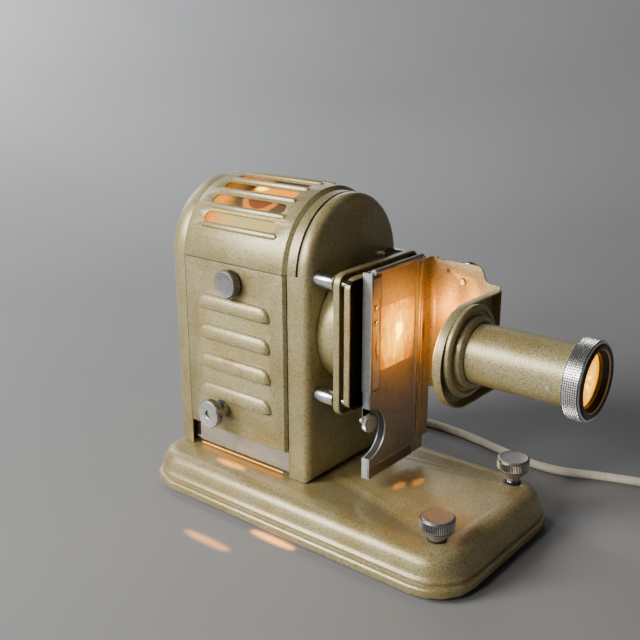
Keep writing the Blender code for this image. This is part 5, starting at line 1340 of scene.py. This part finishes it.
# Condenser, posts and plates
class PROJECTOR_OT_condenser(Piece, bpy.types.Operator):
    """Adds the condenser drum and lenses, the four posts and the two plates"""

    bl_idname = "projector.condenser"
    bl_label = "Condenser and plates"

    def make(self):
        fine_copy("condenser_drum", 0.25)
        keep("heat_filter")
        keep("condenser_rear_lens")
        place = Vector((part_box("condenser_front_lens")[1].x, AXIS_Y, AXIS_Z))
        lens = fine_copy("condenser_front_lens", 0.3)
        # The front condenser lens glows with painted lamp light
        lens.data.materials[0] = painted_glow_glass("lit_condenser", place, 34, 0.6, (0, 6, 2))
        for row in ("upper", "lower"):
            for side in ("near", "far"):
                fine_copy(f"spacer_post_{row}_{side}", 0.4)
        fine_copy("rear_plate")
        # Its face inside the rim carries painted shade
        fine_copy("front_plate", finish="scorched")


# Slide chute
class PROJECTOR_OT_chute(Piece, bpy.types.Operator):
    """Adds the slide chute, its springs, rivets, aperture frame, gate glass and thumb screw"""

    bl_idname = "projector.chute"
    bl_label = "Slide chute"

    def make(self):
        fine_copy("slide_channel", 0.22, "channel_sheet")
        fine_copy("chute_front", 0.22, "chute_sheet")
        fine_copy("aperture_frame", 0.3)
        fine_copy("slide_spring_near", 0.2, "spring_leaf")
        fine_copy("slide_spring_far", 0.2, "far_leaf")
        fine_copy("spring_rivet_lower", 0)
        fine_copy("spring_rivet_upper", 0)
        self.gate_glass()
        self.thumb_screw()

    def gate_glass(self):
        """A thin ground glass pane behind the front sheet's window, with the light from behind painted on it
        as glow.
        """
        place = Vector((FRONT_FACE - 1.25 * MM, AXIS_Y, AXIS_Z))
        pane = slab("gate_glass", place, (50.4 * MM, 44.4 * MM, 1), (0, math.pi / 2, 0))
        edit(pane)
        bpy.ops.mesh.bevel(offset=3 * MM, segments=5, affect="VERTICES")
        bpy.ops.mesh.extrude_region_move(TRANSFORM_OT_translate={"value": (0.2 * MM, 0, 0)})
        close_up(doubles=False)
        round_edges(pane, 0.05 * MM)
        smooth(pane)
        add(pane, "chute_front", painted_glow_glass("lit_gate", place, 28, 9.0, (0, 4.5, 2)))

    def thumb_screw(self):
        """A small knurled screw with a domed face."""
        radius, foot, long = round_node("thumb_screw", X_AXIS)
        thick = 4.9
        tail = long - thick
        stations = [(2.1, -tail), (2.5, 0.5 - tail), (2.5, -0.01), (radius * 0.8, 0), (radius, 0.7)]
        stations += [(radius, thick * i / 8) for i in range(2, 7)]
        stations += [(radius, thick - 0.7), (radius - 0.5, thick - 0.2), (radius - 1, thick)]
        stations += [(radius * 0.5, thick - 0.1), (0.15, thick - 0.15)]
        back = foot + X_AXIS * (tail * MM)
        knurled("thumb_screw", stations, back, X_AXIS, radius, (0.75, thick - 0.75), 96, share=0.8)


# Lens bracket
class PROJECTOR_OT_bracket(Piece, bpy.types.Operator):
    """Adds the bracket arm, its clamp knob, the lens plate and the lens socket"""

    bl_idname = "projector.bracket"
    bl_label = "Lens bracket"

    def make(self):
        fine_copy("lens_arm")
        fine_copy("lens_plate")
        fine_copy("lens_socket", 0.4, segments=3)
        self.clamp_knob()

    def clamp_knob(self):
        radius, foot, long = round_node("clamp_knob", Y_AXIS)
        thick = 10
        tail = long - thick
        stations = [(2.0, -tail), (2.4, 0.5 - tail), (2.4, -0.01), (radius * 0.62, 0), (radius * 0.66, 1.8)]
        stations += [(radius * 0.86, 2.6)] + [(radius, 3.4 + 0.9 * i) for i in range(7)]
        stations += [(radius - 0.5, thick - 0.4), (radius - 1.4, thick), (radius * 0.5, thick - 0.2)]
        stations += [(0.15, thick - 0.3)]
        back = foot + Y_AXIS * (tail * MM)
        knurled("clamp_knob", stations, back, Y_AXIS, radius, (3.5, 8.9), 2 * sizes().knurl_teeth)


# Lens
class PROJECTOR_OT_lens(Piece, bpy.types.Operator):
    """Adds the lens tube, its glasses, the knurled focus ring and the black bezel"""

    bl_idname = "projector.lens"
    bl_label = "Lens"

    def make(self):
        self.barrel()
        self.ring()
        fine_copy("lens_bezel", 0.25, "bezel", segments=3)
        self.glass("front_glass", 1)
        self.glass("rear_glass", -1)

    def barrel(self):
        radius, foot, long = round_node("lens_tube", X_AXIS)
        bore = radius - 2
        stations = [(bore, 0), (radius - 0.4, 0), (radius, 0.4)]
        stations += [(radius, long * i / 12) for i in range(1, 12)]
        stations += [(radius, long - 0.2), (radius - 0.2, long), (bore, long), (bore, 0)]
        obj = turned("lens_tube_fine", stations, Vector((foot.x, AXIS_Y, AXIS_Z)), X_AXIS, 96, ring=True)
        smooth(obj)
        dress(obj, "lens_tube")

    def ring(self):
        """The focus ring: rows of small square studs between two plain lips."""
        radius, foot, wide = round_node("focus_ring", X_AXIS)
        origin = Vector((foot.x, AXIS_Y, AXIS_Z))
        bore = (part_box("lens_tube")[1].y - AXIS_Y) / MM + 0.3
        recess, step, depth, rows = radius - 2, 6.3, 0.45, sizes().ring_rows
        first, last = 1.1, wide - 1.1
        skin = radius - depth
        stations = [(bore, 0), (skin - 0.6, 0), (skin, 0.5)]
        stations += [(skin, first + (last - first) * i / rows) for i in range(rows + 1)]
        stations += [(skin, wide - 0.6), (skin - 0.5, wide - 0.1), (skin - 0.8, wide), (recess, wide)]
        stations += [(recess, step), (bore, step), (bore, 0)]
        obj = turned("focus_ring_fine", stations, origin, X_AXIS, sizes().ring_columns, ring=True)
        edit(obj)

        def on_band(face):
            place = (face.calc_center_median() - origin) / MM
            return place.yz.length > skin - 0.1 and first < place.x < last

        pick(obj, "faces", on_band)
        bpy.ops.mesh.inset(thickness=0.25 * MM, depth=depth * MM, use_individual=True)
        smooth(obj, 20)
        # A lighter copy of the aluminium: painted light
        dress(obj, "focus_ring", turned_aluminium("focus_ring", X_AXIS, radius, depth, 1.5))

    def glass(self, node, side):
        """A lens glass: flat on its inner face and domed on the other."""
        radius, foot, deep = round_node(node, X_AXIS)
        edge = 3.0
        bulge = deep - edge
        sphere = (radius * radius + bulge * bulge) / (2 * bulge)
        spread = math.asin(radius / sphere)
        flat = Vector((foot.x if side > 0 else foot.x + deep * MM, AXIS_Y, AXIS_Z))
        stations = [(0.2, 0), (radius, 0)]
        for i in range(13):
            turn = spread * (1 - i / 12.05)
            stations.append((sphere * math.sin(turn), edge + bulge - sphere * (1 - math.cos(turn))))
        obj = turned(f"{node}_fine", stations, flat, X_AXIS * side, 64)
        smooth(obj, 30)
        # The front glass glows with painted lamp light
        dress(obj, node, painted_glow_glass("lit_front_glass", flat, 26, 8.0, (0, -8, 6)) if side > 0 else None)


class PROJECTOR_PT_pieces(bpy.types.Panel):
    """The projector's pieces and their settings."""

    bl_label = "Slide projector"
    bl_idname = "PROJECTOR_PT_pieces"
    bl_space_type = "VIEW_3D"
    bl_region_type = "UI"
    bl_category = "Projector"

    def draw(self, context):
        for group in (context.scene.projector_sizes, context.scene.projector_colours):
            box = self.layout.box()
            for name in group.__annotations__:
                box.prop(group, name)
        for operator in OPERATORS:
            self.layout.operator(operator.bl_idname)


OPERATORS = (
    PROJECTOR_OT_stage,
    PROJECTOR_OT_cord,
    PROJECTOR_OT_base,
    PROJECTOR_OT_levelling_screws,
    PROJECTOR_OT_lamp_house,
    PROJECTOR_OT_door_knobs,
    PROJECTOR_OT_lamp,
    PROJECTOR_OT_condenser,
    PROJECTOR_OT_chute,
    PROJECTOR_OT_bracket,
    PROJECTOR_OT_lens,
)
CLASSES = (ProjectorSizes, ProjectorColours, *OPERATORS, PROJECTOR_PT_pieces)


def register():
    for item in CLASSES:
        bpy.utils.register_class(item)
    bpy.types.Scene.projector_sizes = PointerProperty(type=ProjectorSizes)
    bpy.types.Scene.projector_colours = PointerProperty(type=ProjectorColours)


def unregister():
    del bpy.types.Scene.projector_colours
    del bpy.types.Scene.projector_sizes
    for item in reversed(CLASSES):
        bpy.utils.unregister_class(item)


def main():
    register()
    bpy.ops.projector.stage()
    bpy.ops.projector.cord()
    bpy.ops.projector.base()
    bpy.ops.projector.levelling_screws()
    bpy.ops.projector.lamp_house()
    bpy.ops.projector.door_knobs()
    bpy.ops.projector.lamp()
    bpy.ops.projector.condenser()
    bpy.ops.projector.chute()
    bpy.ops.projector.bracket()
    bpy.ops.projector.lens()
    deselect()
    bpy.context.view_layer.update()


if __name__ == "__main__":
    main()
